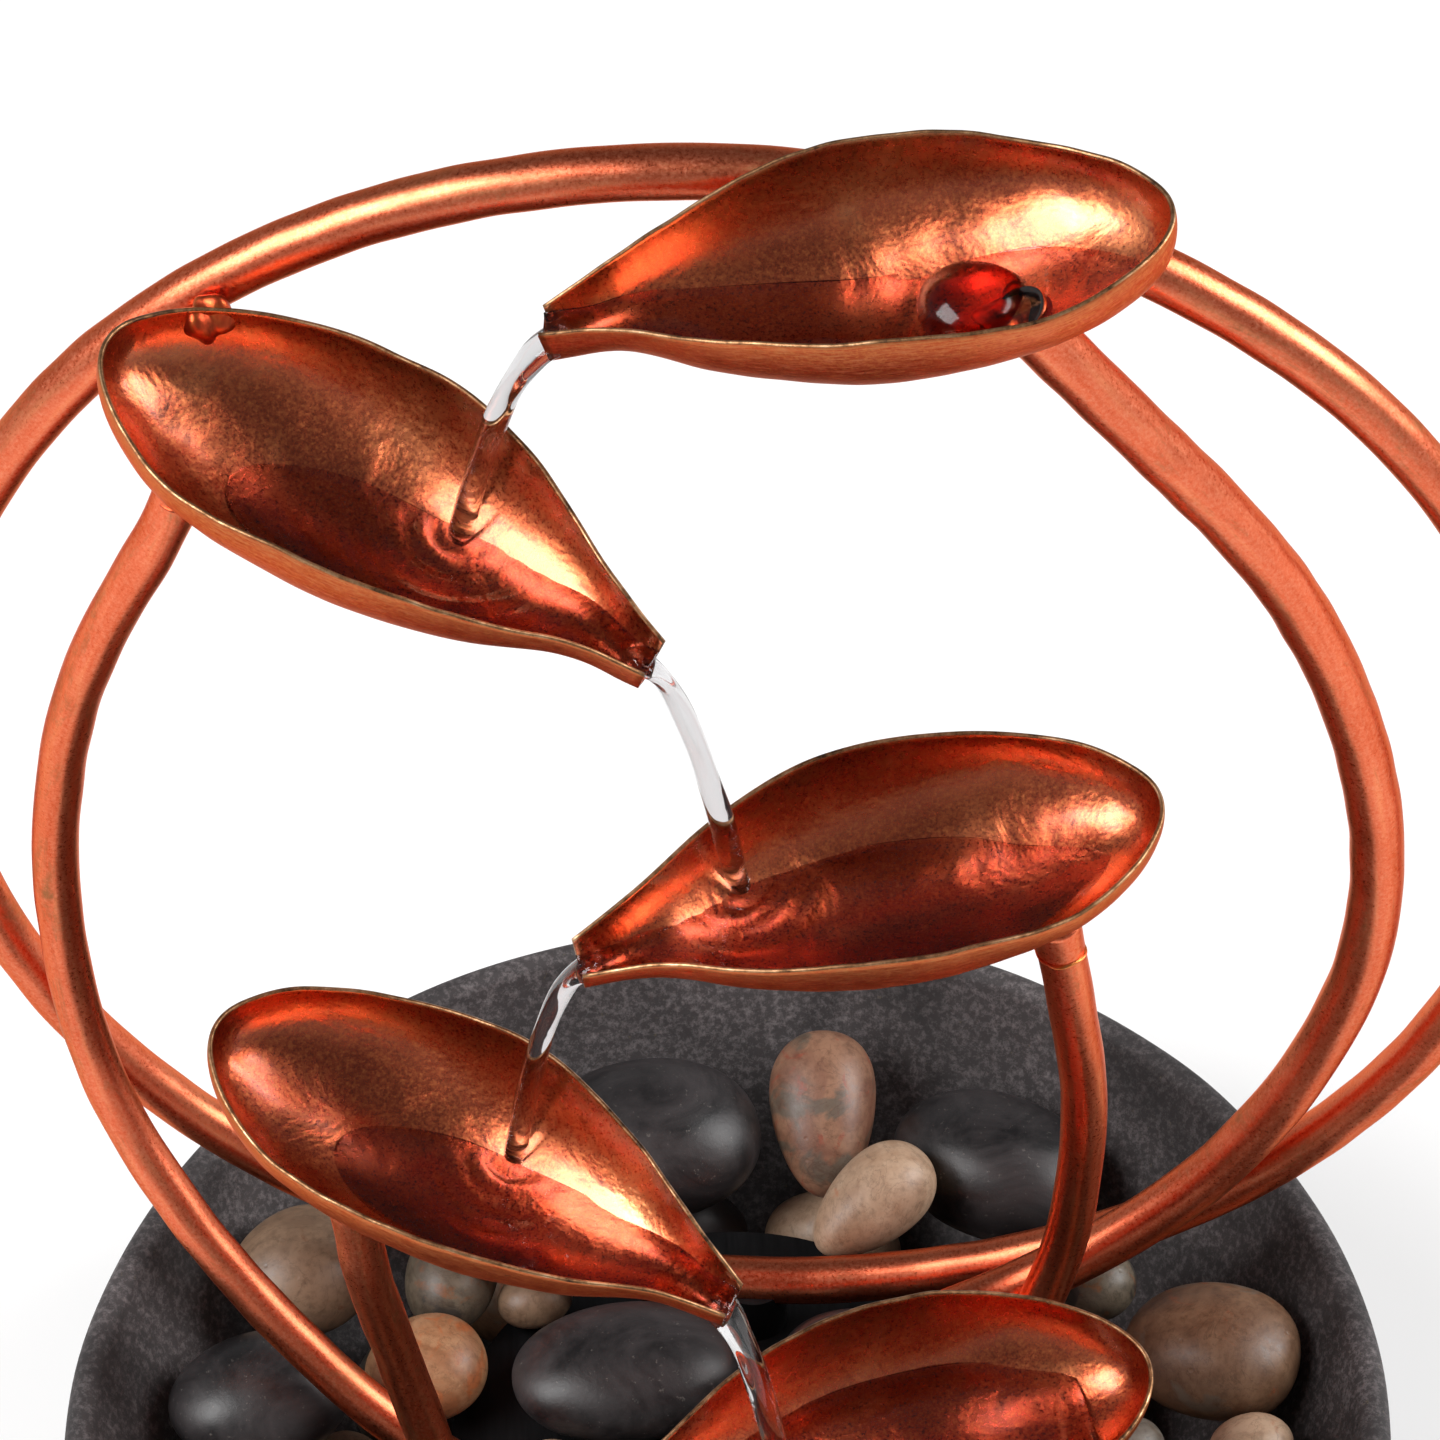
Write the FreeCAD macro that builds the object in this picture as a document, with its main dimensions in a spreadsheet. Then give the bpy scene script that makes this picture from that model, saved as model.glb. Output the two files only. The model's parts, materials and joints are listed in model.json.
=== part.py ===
import FreeCAD, Part
import math
import os

import Sketcher
from FreeCAD import Placement, Rotation, Vector

# Tabletop water fountain: a round stone-effect bowl filled with pebbles, a frame of one closed
# ring tube and curved support tubes carrying five leaf-shaped cups, and a small submersible pump.
# Millimetres. Origin: centre of the underside of the bowl's foot pad, on the table. +Z up,
# +X to the right and +Y away from someone standing in front of the fountain.

doc = FreeCAD.newDocument("tabletop_fountain")
sheet = doc.addObject("Spreadsheet::Sheet", "Sizes")

DRIVING_SIZES = [
    # the bowl
    ("bowl_radius", 122.0), ("bowl_top", 64.0), ("bowl_foot_radius", 80.0), ("pad_radius", 74.0),
    ("pad_thickness", 2.0), ("bowl_base_thickness", 5.0), ("rim_bead", 3.0),
    # the frame's tubes
    ("ring_radius", 139.0), ("ring_tube_radius", 4.5), ("ring_yaw", -6.0),
    ("ring_x", 7.0), ("ring_y", 41.0), ("ring_z", 190.6),
    ("feed_tube_radius", 4.75), ("support_tube_radius", 4.1), ("stem_tube_radius", 4.1),
    ("tube_wall", 1.0), ("vent_radius", 1.2),
    # the leaf cups
    ("leaf_length", 100.0), ("leaf_wall", 1.2),
    # the round plate that the tubes stand on, over the pump
    ("deck_radius", 52.0), ("deck_y", 10.0), ("deck_top", 40.5), ("deck_thickness", 1.5),
    ("deck_hole_radius", 3.0), ("deck_hole_circle", 38.0), ("deck_leg_radius", 3.0),
    ("deck_leg_spread", 32.5), ("hose_hole_radius", 9.0), ("saddle_radius", 6.0),
    ("loose_gap", 0.3),
    # the pump
    ("outlet_x", 8.0), ("outlet_y", 4.0), ("pump_width", 40.0), ("pump_depth", 38.0),
    ("pump_bottom", 10.5), ("pump_height", 27.0), ("chamber_radius", 11.5),
    ("chamber_depth", 13.0), ("rotor_bore_radius", 7.0), ("rotor_bore_depth", 18.0),
    ("shaft_radius", 1.0), ("running_gap", 0.05), ("intake_depth", 9.0), ("shell_wall", 1.5),
    ("outlet_radius", 4.6), ("outlet_bore_radius", 3.0), ("hose_radius", 6.5),
    ("riser_set_back", 8.0), ("pump_corner_radius", 3.0), ("bush_radius", 3.0),
    ("bush_length", 2.5), ("core_width", 8.5), ("core_depth", 20.0), ("seal_depth", 3.0),
    ("gland_radius", 4.0), ("foot_spread_x", 13.0), ("foot_spread_y", 12.0),
]
for row, (alias, number) in enumerate(DRIVING_SIZES, start=1):
    sheet.set(f"A{row}", alias.replace("_", " "))
    sheet.set(f"B{row}", str(number))
    sheet.setAlias(f"B{row}", alias)
doc.recompute()


class Size:
    """A length worked out from the sheet: its expression and its present value."""

    def __init__(self, text, number):
        self.text = text
        self.number = number

    def join(self, sign, other, number):
        return Size(f"({self.text} {sign} {as_size(other).text})", number)

    def __add__(self, other):
        return self.join("+", other, self.number + as_size(other).number)

    def __radd__(self, other):
        return as_size(other) + self

    def __sub__(self, other):
        return self.join("-", other, self.number - as_size(other).number)

    def __mul__(self, other):
        return self.join("*", other, self.number * as_size(other).number)

    def __neg__(self):
        return Size(f"(0 - {self.text})", -self.number)


def as_size(value):
    return value if isinstance(value, Size) else Size(repr(float(value)), float(value))


def cell(alias):
    return Size(f"Sizes.{alias}", float(sheet.get(alias)))


def bind(item, prop, value):
    item.setExpression(prop, as_size(value).text)


def bind_place(item, x, y, z):
    for axis, value in (("x", x), ("y", y), ("z", z)):
        bind(item, f"Placement.Base.{axis}", value)


parts = []


def keep(item, label):
    """Names a finished sub-part; its label is its file's name."""
    item.Label = label
    parts.append(item)
    return item


# ---------------------------------------------------------------- helpers for bodies

def new_body(name):
    return doc.addObject("PartDesign::Body", name)


def origin_feature(body, role):
    return next(item for item in body.Origin.OriginFeatures if item.Role == role)


def new_sketch(body, plane, offset=0.0):
    sketch = body.newObject("Sketcher::SketchObject", "outline")
    sketch.AttachmentSupport = (origin_feature(body, plane), "")
    sketch.MapMode = "FlatFace"
    bind(sketch, "AttachmentOffset.Base.z", offset)
    return sketch


def pin_point(sketch, item, end, across, up):
    """Holds one end of a sketch line at sizes from the sheet."""
    for kind, value in (("DistanceX", across), ("DistanceY", up)):
        value = as_size(value)
        index = sketch.addConstraint(
            Sketcher.Constraint(kind, -1, 1, item, end, value.number))
        sketch.setExpression(f"Constraints[{index}]", value.text)


def closed_outline(body, plane, corners, bulges=None, offset=0.0):
    """A closed sketch through the corners. bulges maps a corner's number to the point that an
    arc from it to the next corner passes through; other sides are straight."""
    sketch = new_sketch(body, plane, offset)
    bulges = bulges or {}
    spots = [Vector(as_size(u).number, as_size(v).number, 0) for u, v in corners]
    for number, (u, v) in enumerate(corners):
        start, finish = spots[number], spots[(number + 1) % len(spots)]
        if number in bulges:
            middle = Vector(*(as_size(value).number for value in bulges[number]), 0)
            sketch.addGeometry(Part.Arc(start, middle, finish))
        else:
            sketch.addGeometry(Part.LineSegment(start, finish))
            pin_point(sketch, number, 1, u, v)
    return sketch


def circle_outline(body, plane, radius, across=0.0, up=0.0, offset=0.0):
    sketch = new_sketch(body, plane, offset)
    radius = as_size(radius)
    centre = Vector(as_size(across).number, as_size(up).number, 0)
    sketch.addGeometry(Part.Circle(centre, Vector(0, 0, 1), radius.number))
    index = sketch.addConstraint(Sketcher.Constraint("Radius", 0, radius.number))
    sketch.setExpression(f"Constraints[{index}]", radius.text)
    pin_point(sketch, 0, 3, across, up)
    return sketch


def box_outline(body, plane, low_u, low_v, high_u, high_v, offset=0.0):
    corners = [(low_u, low_v), (high_u, low_v), (high_u, high_v), (low_u, high_v)]
    return closed_outline(body, plane, corners, offset=offset)


def pad(body, sketch, length, back=False):
    feature = body.newObject("PartDesign::Pad", "pad")
    feature.Profile = sketch
    feature.Reversed = back
    bind(feature, "Length", length)
    doc.recompute()
    return feature


def pocket(body, sketch, length, back=False):
    """Cuts the sketch's outline out of the body, and makes sure that something was cut."""
    before = body.Tip.Shape.Volume
    feature = body.newObject("PartDesign::Pocket", "pocket")
    feature.Profile = sketch
    feature.Reversed = back
    bind(feature, "Length", length)
    doc.recompute()
    if feature.Shape.Volume >= before - 1e-6:
        raise RuntimeError(f"pocket in {body.Name} cuts nothing")
    return feature


def polar_pattern(body, features, count, sketch):
    pattern = body.newObject("PartDesign::PolarPattern", "pattern")
    pattern.Originals = features
    pattern.Axis = (sketch, ["N_Axis"])
    pattern.Angle = 360.0
    pattern.Occurrences = count
    body.Tip = pattern
    doc.recompute()
    return pattern


def linear_pattern(body, features, axis_role, length, count):
    pattern = body.newObject("PartDesign::LinearPattern", "pattern")
    pattern.Originals = features
    pattern.Direction = (origin_feature(body, axis_role), [""])
    pattern.Length = length
    pattern.Occurrences = count
    body.Tip = pattern
    doc.recompute()
    return pattern


# ---------------------------------------------------------------- helpers for primitives

TURN_TO = {"Z": Rotation(), "Y": Rotation(Vector(1, 0, 0), -90)}


def cylinder(name, radius, height, x, y, z, along="Z"):
    item = doc.addObject("Part::Cylinder", name)
    bind(item, "Radius", radius)
    bind(item, "Height", height)
    item.Placement = Placement(Vector(), TURN_TO[along])
    bind_place(item, x, y, z)
    return item


def block(name, width, depth, height, x, y, z):
    item = doc.addObject("Part::Box", name)
    bind(item, "Length", width)
    bind(item, "Width", depth)
    bind(item, "Height", height)
    bind_place(item, x, y, z)
    return item


def cut(name, base, tool):
    item = doc.addObject("Part::Cut", name)
    item.Base, item.Tool = base, tool
    return item


def join(name, items):
    item = doc.addObject("Part::MultiFuse", name)
    item.Shapes = items
    return item


def group(name, items):
    """Separate solids of one kind in one sub-part."""
    item = doc.addObject("Part::Compound", name)
    item.Links = items
    return item


def sleeve(name, outer, bore, height, x, y, z, along="Z"):
    body = cylinder(name + "_body", outer, height, x, y, z, along)
    hole = cylinder(name + "_hole", bore, height, x, y, z, along)
    return cut(name, body, hole)


def free_shape(name, shape):
    item = doc.addObject("Part::Feature", name)
    item.Shape = shape
    return item


# ---------------------------------------------------------------- bowl and its foot pad

def make_bowl():
    floor = cell("pad_thickness") + cell("bowl_base_thickness")
    bead = cell("rim_bead")
    bead_middle = cell("bowl_radius") - bead
    body = new_body("bowl_body")
    corners = [
        (0.0, cell("pad_thickness")), (cell("bowl_foot_radius"), cell("pad_thickness")),
        (cell("bowl_radius"), cell("bowl_top") - bead),
        (bead_middle - bead * 0.866, cell("bowl_top") - bead * 0.5),
        (cell("bowl_foot_radius"), floor), (0.0, floor)]
    bulges = {
        1: (cell("bowl_radius") - 13.0, cell("pad_thickness") + 23.0),
        2: (bead_middle, cell("bowl_top")),
        3: (cell("bowl_radius") - 19.5, floor + 29.0)}
    sketch = closed_outline(body, "XZ_Plane", corners, bulges)
    turn = body.newObject("PartDesign::Revolution", "turned_bowl")
    turn.Profile = sketch
    turn.ReferenceAxis = (sketch, ["V_Axis"])
    turn.Angle = 360.0
    doc.recompute()
    keep(body, "bowl")
    keep(cylinder("foot", cell("pad_radius"), cell("pad_thickness"), 0, 0, 0), "foot_pad")


# ---------------------------------------------------------------- leaf cups

# Along a leaf, from its round closed end to its lip: the place as a part of the length, half the
# width, the depth below the edge, and how far the edge rises there.
LEAF_SECTIONS = [
    (0.00, 2.8, 4.5, 0.0), (0.03, 6.9, 8.0, 0.2), (0.10, 14.4, 12.0, 0.7),
    (0.22, 20.2, 15.5, 1.6), (0.38, 22.4, 20.5, 4.5), (0.56, 21.1, 21.5, 6.3),
    (0.74, 15.2, 15.5, 5.0), (0.88, 8.0, 9.0, 3.0), (1.00, 3.8, 7.5, 0.0)]

# Where each leaf's lip is, which way it points in plan, how far it tips towards the lip and how
# far it leans about its own length (degrees).
LEAF_PLACES = {
    "leaf_1": (Vector(-19.2, 19.0, 320.0), 174.5, 13.5, -3.2),
    "leaf_2": (Vector(-4.5, -8.0, 271.8), -26.0, 22.0, 3.0),
    "leaf_3": (Vector(-20.1, -15.0, 210.1), 190.6, 6.7, -6.0),
    "leaf_4": (Vector(2.8, -39.4, 148.7), -26.5, 17.0, 3.0),
    "leaf_5": (Vector(-21.8, -40.7, 94.3), 192.0, 3.0, -8.0)}

CUP_OVERSHOOT = 4.0  # the cups' hollows are cut from this far above their edges
CUP_END_WALLS = 1.5  # thickness at the closed end, in walls
CUP_LIP_PAST = 2.0  # how far the hollow runs out past the lip


def leaf_section(body, along, half_width, depth, rise, overshoot):
    """A U-shaped outline across the leaf, with its open top closed by straight lines."""
    sketch = new_sketch(body, "YZ_Plane", along)
    swing = [math.radians(angle) for angle in range(-90, 91, 30)]
    curve = Part.BSplineCurve()
    curve.interpolate([Vector(half_width * math.sin(angle), rise - depth * math.cos(angle), 0)
                       for angle in swing])
    sketch.addGeometry(curve)
    left, right = Vector(-half_width, rise, 0), Vector(half_width, rise, 0)
    up = Vector(0, overshoot, 0)
    path = [right, right + up, left + up, left] if overshoot else [right, left]
    for start, finish in zip(path, path[1:]):
        sketch.addGeometry(Part.LineSegment(start, finish))
    return sketch


def make_leaf(label, place):
    lip, yaw, tip, lean = place
    length, wall = cell("leaf_length"), cell("leaf_wall")
    body = new_body(label + "_body")
    body.Placement = Placement(lip, Rotation(yaw, tip, lean))
    outside = [leaf_section(body, length * (part - 1), half, depth, rise, 0)
               for part, half, depth, rise in LEAF_SECTIONS]
    shell = body.newObject("PartDesign::AdditiveLoft", "outside")
    shell.Profile, shell.Sections = outside[0], outside[1:]
    doc.recompute()
    inside = []
    for part, half, depth, rise in LEAF_SECTIONS:
        shift = 0.0
        if part == 0.0:
            shift = wall * CUP_END_WALLS
        if part == 1.0:
            shift = CUP_LIP_PAST
        inside.append(leaf_section(body, length * (part - 1) + shift, half - wall.number,
                                   depth - wall.number, rise, CUP_OVERSHOOT))
    hollow = body.newObject("PartDesign::SubtractiveLoft", "hollow")
    hollow.Profile, hollow.Sections = inside[0], inside[1:]
    doc.recompute()
    return body, shell.Shape.copy()


# ---------------------------------------------------------------- tubes

def bent_wire(points, share=0.45):
    """Straight runs between the points, joined by arcs as large as the shorter run allows."""
    edges = []
    start = points[0]
    for before, corner, after in zip(points, points[1:], points[2:]):
        back, ahead = (before - corner), (after - corner)
        reach = share * min(back.Length, ahead.Length)
        back.normalize()
        ahead.normalize()
        turn = math.pi - back.getAngle(ahead)
        enter, leave = corner + back * reach, corner + ahead * reach
        radius = reach / math.tan(turn / 2)
        inward = (back + ahead).normalize()
        middle = corner + inward * (radius / math.cos(turn / 2) - radius)
        edges.append(Part.LineSegment(start, enter).toShape())
        edges.append(Part.Arc(enter, middle, leave).toShape())
        start = leave
    edges.append(Part.LineSegment(start, points[-1]).toShape())
    return Part.Wire(edges)


def swept(points, radius):
    wire = bent_wire(points)
    direction = points[1] - points[0]
    circle = Part.Wire([Part.makeCircle(radius, points[0], direction)])
    solid = wire.makePipeShell([circle], True, False)
    expected = math.pi * radius ** 2 * wire.Length
    if not 0.97 < solid.Volume / expected < 1.03:
        raise RuntimeError(f"swept tube volume {solid.Volume:.0f}, expected {expected:.0f}")
    return solid


def hollow_tube(points, radius, wall):
    return swept(points, radius).cut(swept(points, radius - wall))


FEED_ROUTE = [
    Vector(50, 17, 326), Vector(51.5, 16.5, 317), Vector(59, 14, 310.5), Vector(73, 12.5, 299),
    Vector(95, 16, 263), Vector(107.5, 20, 233), Vector(116, 23, 200), Vector(118.5, 25, 168),
    Vector(114.8, 27, 138.5), Vector(101, 27.5, 105), Vector(80, 26.6, 80.2), Vector(53, 25.5, 62.8),
    Vector(26, 14, 64), Vector(8, 4, 67), Vector(8, 4, 48)]

LEFT_SUPPORT_ROUTE = [
    Vector(-75, 22, 294), Vector(-80, 22, 280), Vector(-95, 28, 249), Vector(-103.5, 34, 223),
    Vector(-109, 39.5, 196), Vector(-112.3, 43, 171), Vector(-112.5, 44, 137),
    Vector(-107, 39, 111), Vector(-93.5, 27.5, 89), Vector(-78.5, 19, 69), Vector(-63, 11, 54),
    Vector(-50, 6, 45), Vector(-40, 4, 36)]

STEM_ROUTES = {
    "leaf_3_stem": [Vector(59.1, -8.5, 206), Vector(62.3, -5, 180), Vector(66.2, 5, 143.6),
                    Vector(65.3, 13, 102), Vector(61.5, 14.5, 81), Vector(54, 15, 57),
                    Vector(44, 15, 34)],
    "leaf_4_stem": [Vector(-62.3, -15, 163), Vector(-61.5, -12.5, 130), Vector(-59, -6, 103),
                    Vector(-56, -4, 80), Vector(-51.5, -7, 57), Vector(-43, -10, 34)],
    "leaf_5_stem": [Vector(31, -29, 90), Vector(30, -27, 68), Vector(24, -20, 51),
                    Vector(18, -13, 35)]}

STEM_TOPS = {"leaf_3_stem": "leaf_3", "leaf_4_stem": "leaf_4", "leaf_5_stem": "leaf_5"}


def ring_placement():
    return Placement(Vector(cell("ring_x").number, cell("ring_y").number, cell("ring_z").number),
                     Rotation(cell("ring_yaw").number, 0, 90))


def make_ring():
    solids = []
    for name, radius in (("ring_outside", cell("ring_tube_radius")),
                         ("ring_bore", cell("ring_tube_radius") - cell("tube_wall"))):
        torus = doc.addObject("Part::Torus", name)
        bind(torus, "Radius1", cell("ring_radius"))
        bind(torus, "Radius2", radius)
        torus.Placement = ring_placement()
        bind_place(torus, cell("ring_x"), cell("ring_y"), cell("ring_z"))
        solids.append(torus)
    # the vent is a little way round from the bottom, where the ring has started to climb
    vent_along = 22.0
    climb = vent_along ** 2 / (2 * cell("ring_radius").number)
    vent_y = cell("ring_y") + vent_along * math.tan(math.radians(cell("ring_yaw").number))
    vent_z = cell("ring_z") - cell("ring_radius") - cell("ring_tube_radius") + (climb - 1.0)
    vent = cylinder("ring_vent", cell("vent_radius"), cell("tube_wall") * 4,
                    cell("ring_x") + vent_along, vent_y, vent_z)
    keep(cut("ring_with_vent", cut("ring_shell", *solids), vent), "ring_tube")
    doc.recompute()
    return solids[0].Shape.copy()


def fitted(tube, leaf_core):
    """The part of a tube between the top of the deck and the underside of a leaf."""
    reach = 200.0
    under_deck = Part.makeBox(2 * reach, 2 * reach, cell("deck_top").number,
                              Vector(-reach, -reach, 0))
    trimmed = tube.cut(leaf_core).cut(under_deck)
    return max(trimmed.Solids, key=lambda solid: solid.Volume)


def drill_inlet(leaf):
    """The hole in the top leaf that the water tube comes up through."""
    drill = doc.addObject("Part::Cylinder", "inlet_drill")
    bind(drill, "Radius", cell("feed_tube_radius"))
    bind(drill, "Height", 16.0)
    top, below = FEED_ROUTE[0], FEED_ROUTE[1]
    drill.Placement = Placement(below, Rotation(Vector(0, 0, 1), top - below))
    keep(cut("leaf_1_drilled", leaf, drill), "leaf_1")


def make_tubes(leaf_cores):
    wall = cell("tube_wall").number
    feed_radius = cell("feed_tube_radius").number
    feed = hollow_tube(FEED_ROUTE, feed_radius, wall)
    keep(free_shape("feed_pipe", feed), "feed_tube")
    support = hollow_tube(LEFT_SUPPORT_ROUTE, cell("support_tube_radius").number, wall)
    keep(free_shape("left_support", fitted(support, leaf_cores["leaf_2"])), "left_support_tube")
    for label, route in STEM_ROUTES.items():
        stem = hollow_tube(route, cell("stem_tube_radius").number, wall)
        keep(free_shape(label + "_pipe", fitted(stem, leaf_cores[STEM_TOPS[label]])), label)


# ---------------------------------------------------------------- solder

# Lumps of solder: the place and the radius of each.
SOLDER_LUMPS = {
    "solder_ring_leaf_1": (Vector(30, 37.5, 328), 4.6),
    "solder_ring_leaf_2": (Vector(-73.5, 45.5, 302.5), 6.2),
    "solder_leaf_2_support": (Vector(-77.5, 22, 285), 6.0),
    "solder_leaf_3_stem": (Vector(59.9, -7.7, 198.6), 6.0),
    "solder_leaf_4_stem": (Vector(-62.3, -15, 153), 6.0),
    "solder_leaf_5_stem": (Vector(31, -29, 78), 6.0),
    "solder_feed_inlet": (Vector(51.5, 16.5, 318.5), 7.0)}


def make_solder(neighbours):
    """Each lump of solder is what is left of a ball around a joint after its neighbours."""
    for label, (centre, radius) in SOLDER_LUMPS.items():
        shape = Part.makeSphere(radius, centre)
        near = [other for other in neighbours if shape.BoundBox.intersect(other.BoundBox)]
        for other in near:
            shape = shape.cut(other)
        biggest = max(shape.Solids, key=lambda solid: solid.Volume)
        keep(free_shape(label + "_lump", biggest), label)


# ---------------------------------------------------------------- deck over the pump

def make_deck():
    body = new_body("deck_body")
    middle_y = cell("deck_y")
    low = cell("deck_top") - cell("deck_thickness")
    plate = circle_outline(body, "XY_Plane", cell("deck_radius"), 0.0, 0.0, low)
    pad(body, plate, cell("deck_thickness"))
    drain = circle_outline(body, "XY_Plane", cell("deck_hole_radius"),
                           cell("deck_hole_circle"), 0.0, cell("deck_top"))
    hole = pocket(body, drain, cell("deck_thickness") + 1.0)
    polar_pattern(body, [hole], 10, plate)
    hose = circle_outline(body, "XY_Plane", cell("hose_hole_radius"), cell("outlet_x"),
                          cell("outlet_y") - middle_y, cell("deck_top"))
    pocket(body, hose, cell("deck_thickness") + 1.0)
    bind_place(body, 0.0, middle_y, 0.0)
    keep(body, "deck_plate")

    floor = cell("pad_thickness") + cell("bowl_base_thickness") + cell("loose_gap")
    spread = cell("deck_leg_spread")
    legs = []
    for side in (-1, 1):
        for end in (-1, 1):
            legs.append(cylinder("deck_leg", cell("deck_leg_radius"), low - floor,
                                 spread * side, middle_y + spread * end, floor))
    keep(group("legs", legs), "deck_legs")

    ring_low = cell("ring_z") - cell("ring_radius")
    saddle = cylinder("saddle_post", cell("saddle_radius"), ring_low - cell("deck_top"), cell("ring_x"),
                      cell("ring_y"), cell("deck_top"))
    return saddle


# ---------------------------------------------------------------- pump

def make_pump():
    width, depth, height = cell("pump_width"), cell("pump_depth"), cell("pump_height")
    axis_x, riser_y = cell("outlet_x"), cell("outlet_y")
    left = axis_x - width * 0.5
    front = riser_y - cell("riser_set_back")
    bottom = cell("pump_bottom")
    axis_z = bottom + height * 0.5
    back, top = front + depth, bottom + height
    wall, gap = cell("shell_wall"), cell("loose_gap")
    bore_front = front + cell("chamber_depth")
    bore_end = bore_front + cell("rotor_bore_depth")

    make_housing(left, front, bottom, axis_x, axis_z, bore_front, bore_end)
    make_outlet(axis_x, riser_y, top)
    make_rotor(axis_x, axis_z, front, bore_front, bore_end)
    make_intake_cover(left, front - gap, bottom, axis_x, axis_z)
    make_regulator(axis_x, front - gap * 2 - cell("intake_depth"), axis_z)
    gland_y, gland_z = back, bottom + cell("gland_radius") * 2
    keep(sleeve("gland", cell("gland_radius"), cell("gland_radius") * 0.4,
                cell("gland_radius") * 1.5, left + width * 0.75, gland_y, gland_z, "Y"),
         "pump_cable_gland")

    floor = cell("pad_thickness") + cell("bowl_base_thickness")
    feet = []
    for side in (-1, 1):
        for end in (-1, 1):
            foot = doc.addObject("Part::Cone", "suction_foot")
            foot.Radius1, foot.Radius2 = 5.0, 2.5
            bind(foot, "Height", bottom - floor)
            bind_place(foot, axis_x + cell("foot_spread_x") * side,
                       front + depth * 0.5 + cell("foot_spread_y") * end, floor)
            feet.append(foot)
    keep(group("suction_feet", feet), "pump_suction_feet")


def make_housing(left, front, bottom, axis_x, axis_z, bore_front, bore_end):
    """A rounded block, bored from the front for the impeller and the rotor, and pocketed from
    the back for the coil's cores and the resin that seals them in."""
    width, height, wall = cell("pump_width"), cell("pump_height"), cell("shell_wall")
    back, top = front + cell("pump_depth"), bottom + height
    body = new_body("pump_housing_body")
    base = box_outline(body, "XY_Plane", left, front, left + width, back, bottom)
    solid = pad(body, base, height)
    uprights = [f"Edge{number}" for number, edge in enumerate(solid.Shape.Edges, start=1)
                if abs(edge.tangentAt(edge.FirstParameter).z) > 0.99]
    rounded = body.newObject("PartDesign::Fillet", "rounded_corners")
    rounded.Base = (solid, uprights)
    bind(rounded, "Radius", cell("pump_corner_radius"))
    body.Tip = rounded
    doc.recompute()
    bores = [(cell("chamber_radius"), front, cell("chamber_depth")),
             (cell("rotor_bore_radius"), bore_front, cell("rotor_bore_depth")),
             (cell("bush_radius"), bore_end, cell("bush_length"))]
    for radius, start, length in bores:
        pocket(body, circle_outline(body, "XZ_Plane", radius, axis_x, axis_z, -start), length)
    riser = circle_outline(body, "XY_Plane", cell("outlet_bore_radius"), axis_x,
                           cell("outlet_y"), top)
    pocket(body, riser, height * 0.5)

    core_width, core_depth, seal_depth = cell("core_width"), cell("core_depth"), cell("seal_depth")
    coil_low, coil_high = bottom + wall * 2, top - wall * 2
    core_lefts = (left + wall, left + width - wall - core_width)
    for core_left in core_lefts:
        room = box_outline(body, "XZ_Plane", core_left, coil_low, core_left + core_width,
                           coil_high, -back)
        pocket(body, room, seal_depth + core_depth, back=True)
    seal_room = box_outline(body, "XZ_Plane", left + wall, coil_low, left + width - wall,
                            coil_high, -back)
    pocket(body, seal_room, seal_depth, back=True)
    keep(body, "pump_housing")

    cores = [block("core", core_width, core_depth, coil_high - coil_low, core_left,
                   back - seal_depth - core_depth, coil_low) for core_left in core_lefts]
    keep(group("cores", cores), "pump_coil_cores")
    keep(block("seal", width - wall * 2, seal_depth, coil_high - coil_low, left + wall,
               back - seal_depth, coil_low), "pump_resin_seal")


def make_outlet(x, y, top):
    """The adapter pressed into the pump's outlet, and the frame's hose that slides over it."""
    spigot_length, flange_length, hose_length = 9.5, 1.0, 22.0
    below_deck, step_above_spigot = 1.2, 0.5
    flange = cylinder("outlet_flange", 6.0, flange_length, x, y, top)
    spigot = cylinder("outlet_spigot", cell("outlet_radius"), spigot_length, x, y, top)
    bore = cylinder("outlet_bore", cell("outlet_bore_radius"), spigot_length, x, y, top)
    keep(cut("outlet", join("outlet_solid", [flange, spigot]), bore), "outlet_adapter")
    hose_low = cell("deck_top") - below_deck
    hose_step = top + spigot_length + step_above_spigot
    hose = cylinder("hose_outside", cell("hose_radius"), hose_length, x, y, hose_low)
    lower = cylinder("hose_lower_bore", cell("outlet_radius") + cell("running_gap"),
                     hose_step - hose_low + 1.0, x, y, hose_low)
    upper = cylinder("hose_upper_bore", cell("feed_tube_radius"), hose_length, x, y, hose_step)
    keep(cut("hose", hose, join("hose_bores", [lower, upper])), "outlet_hose")


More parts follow.
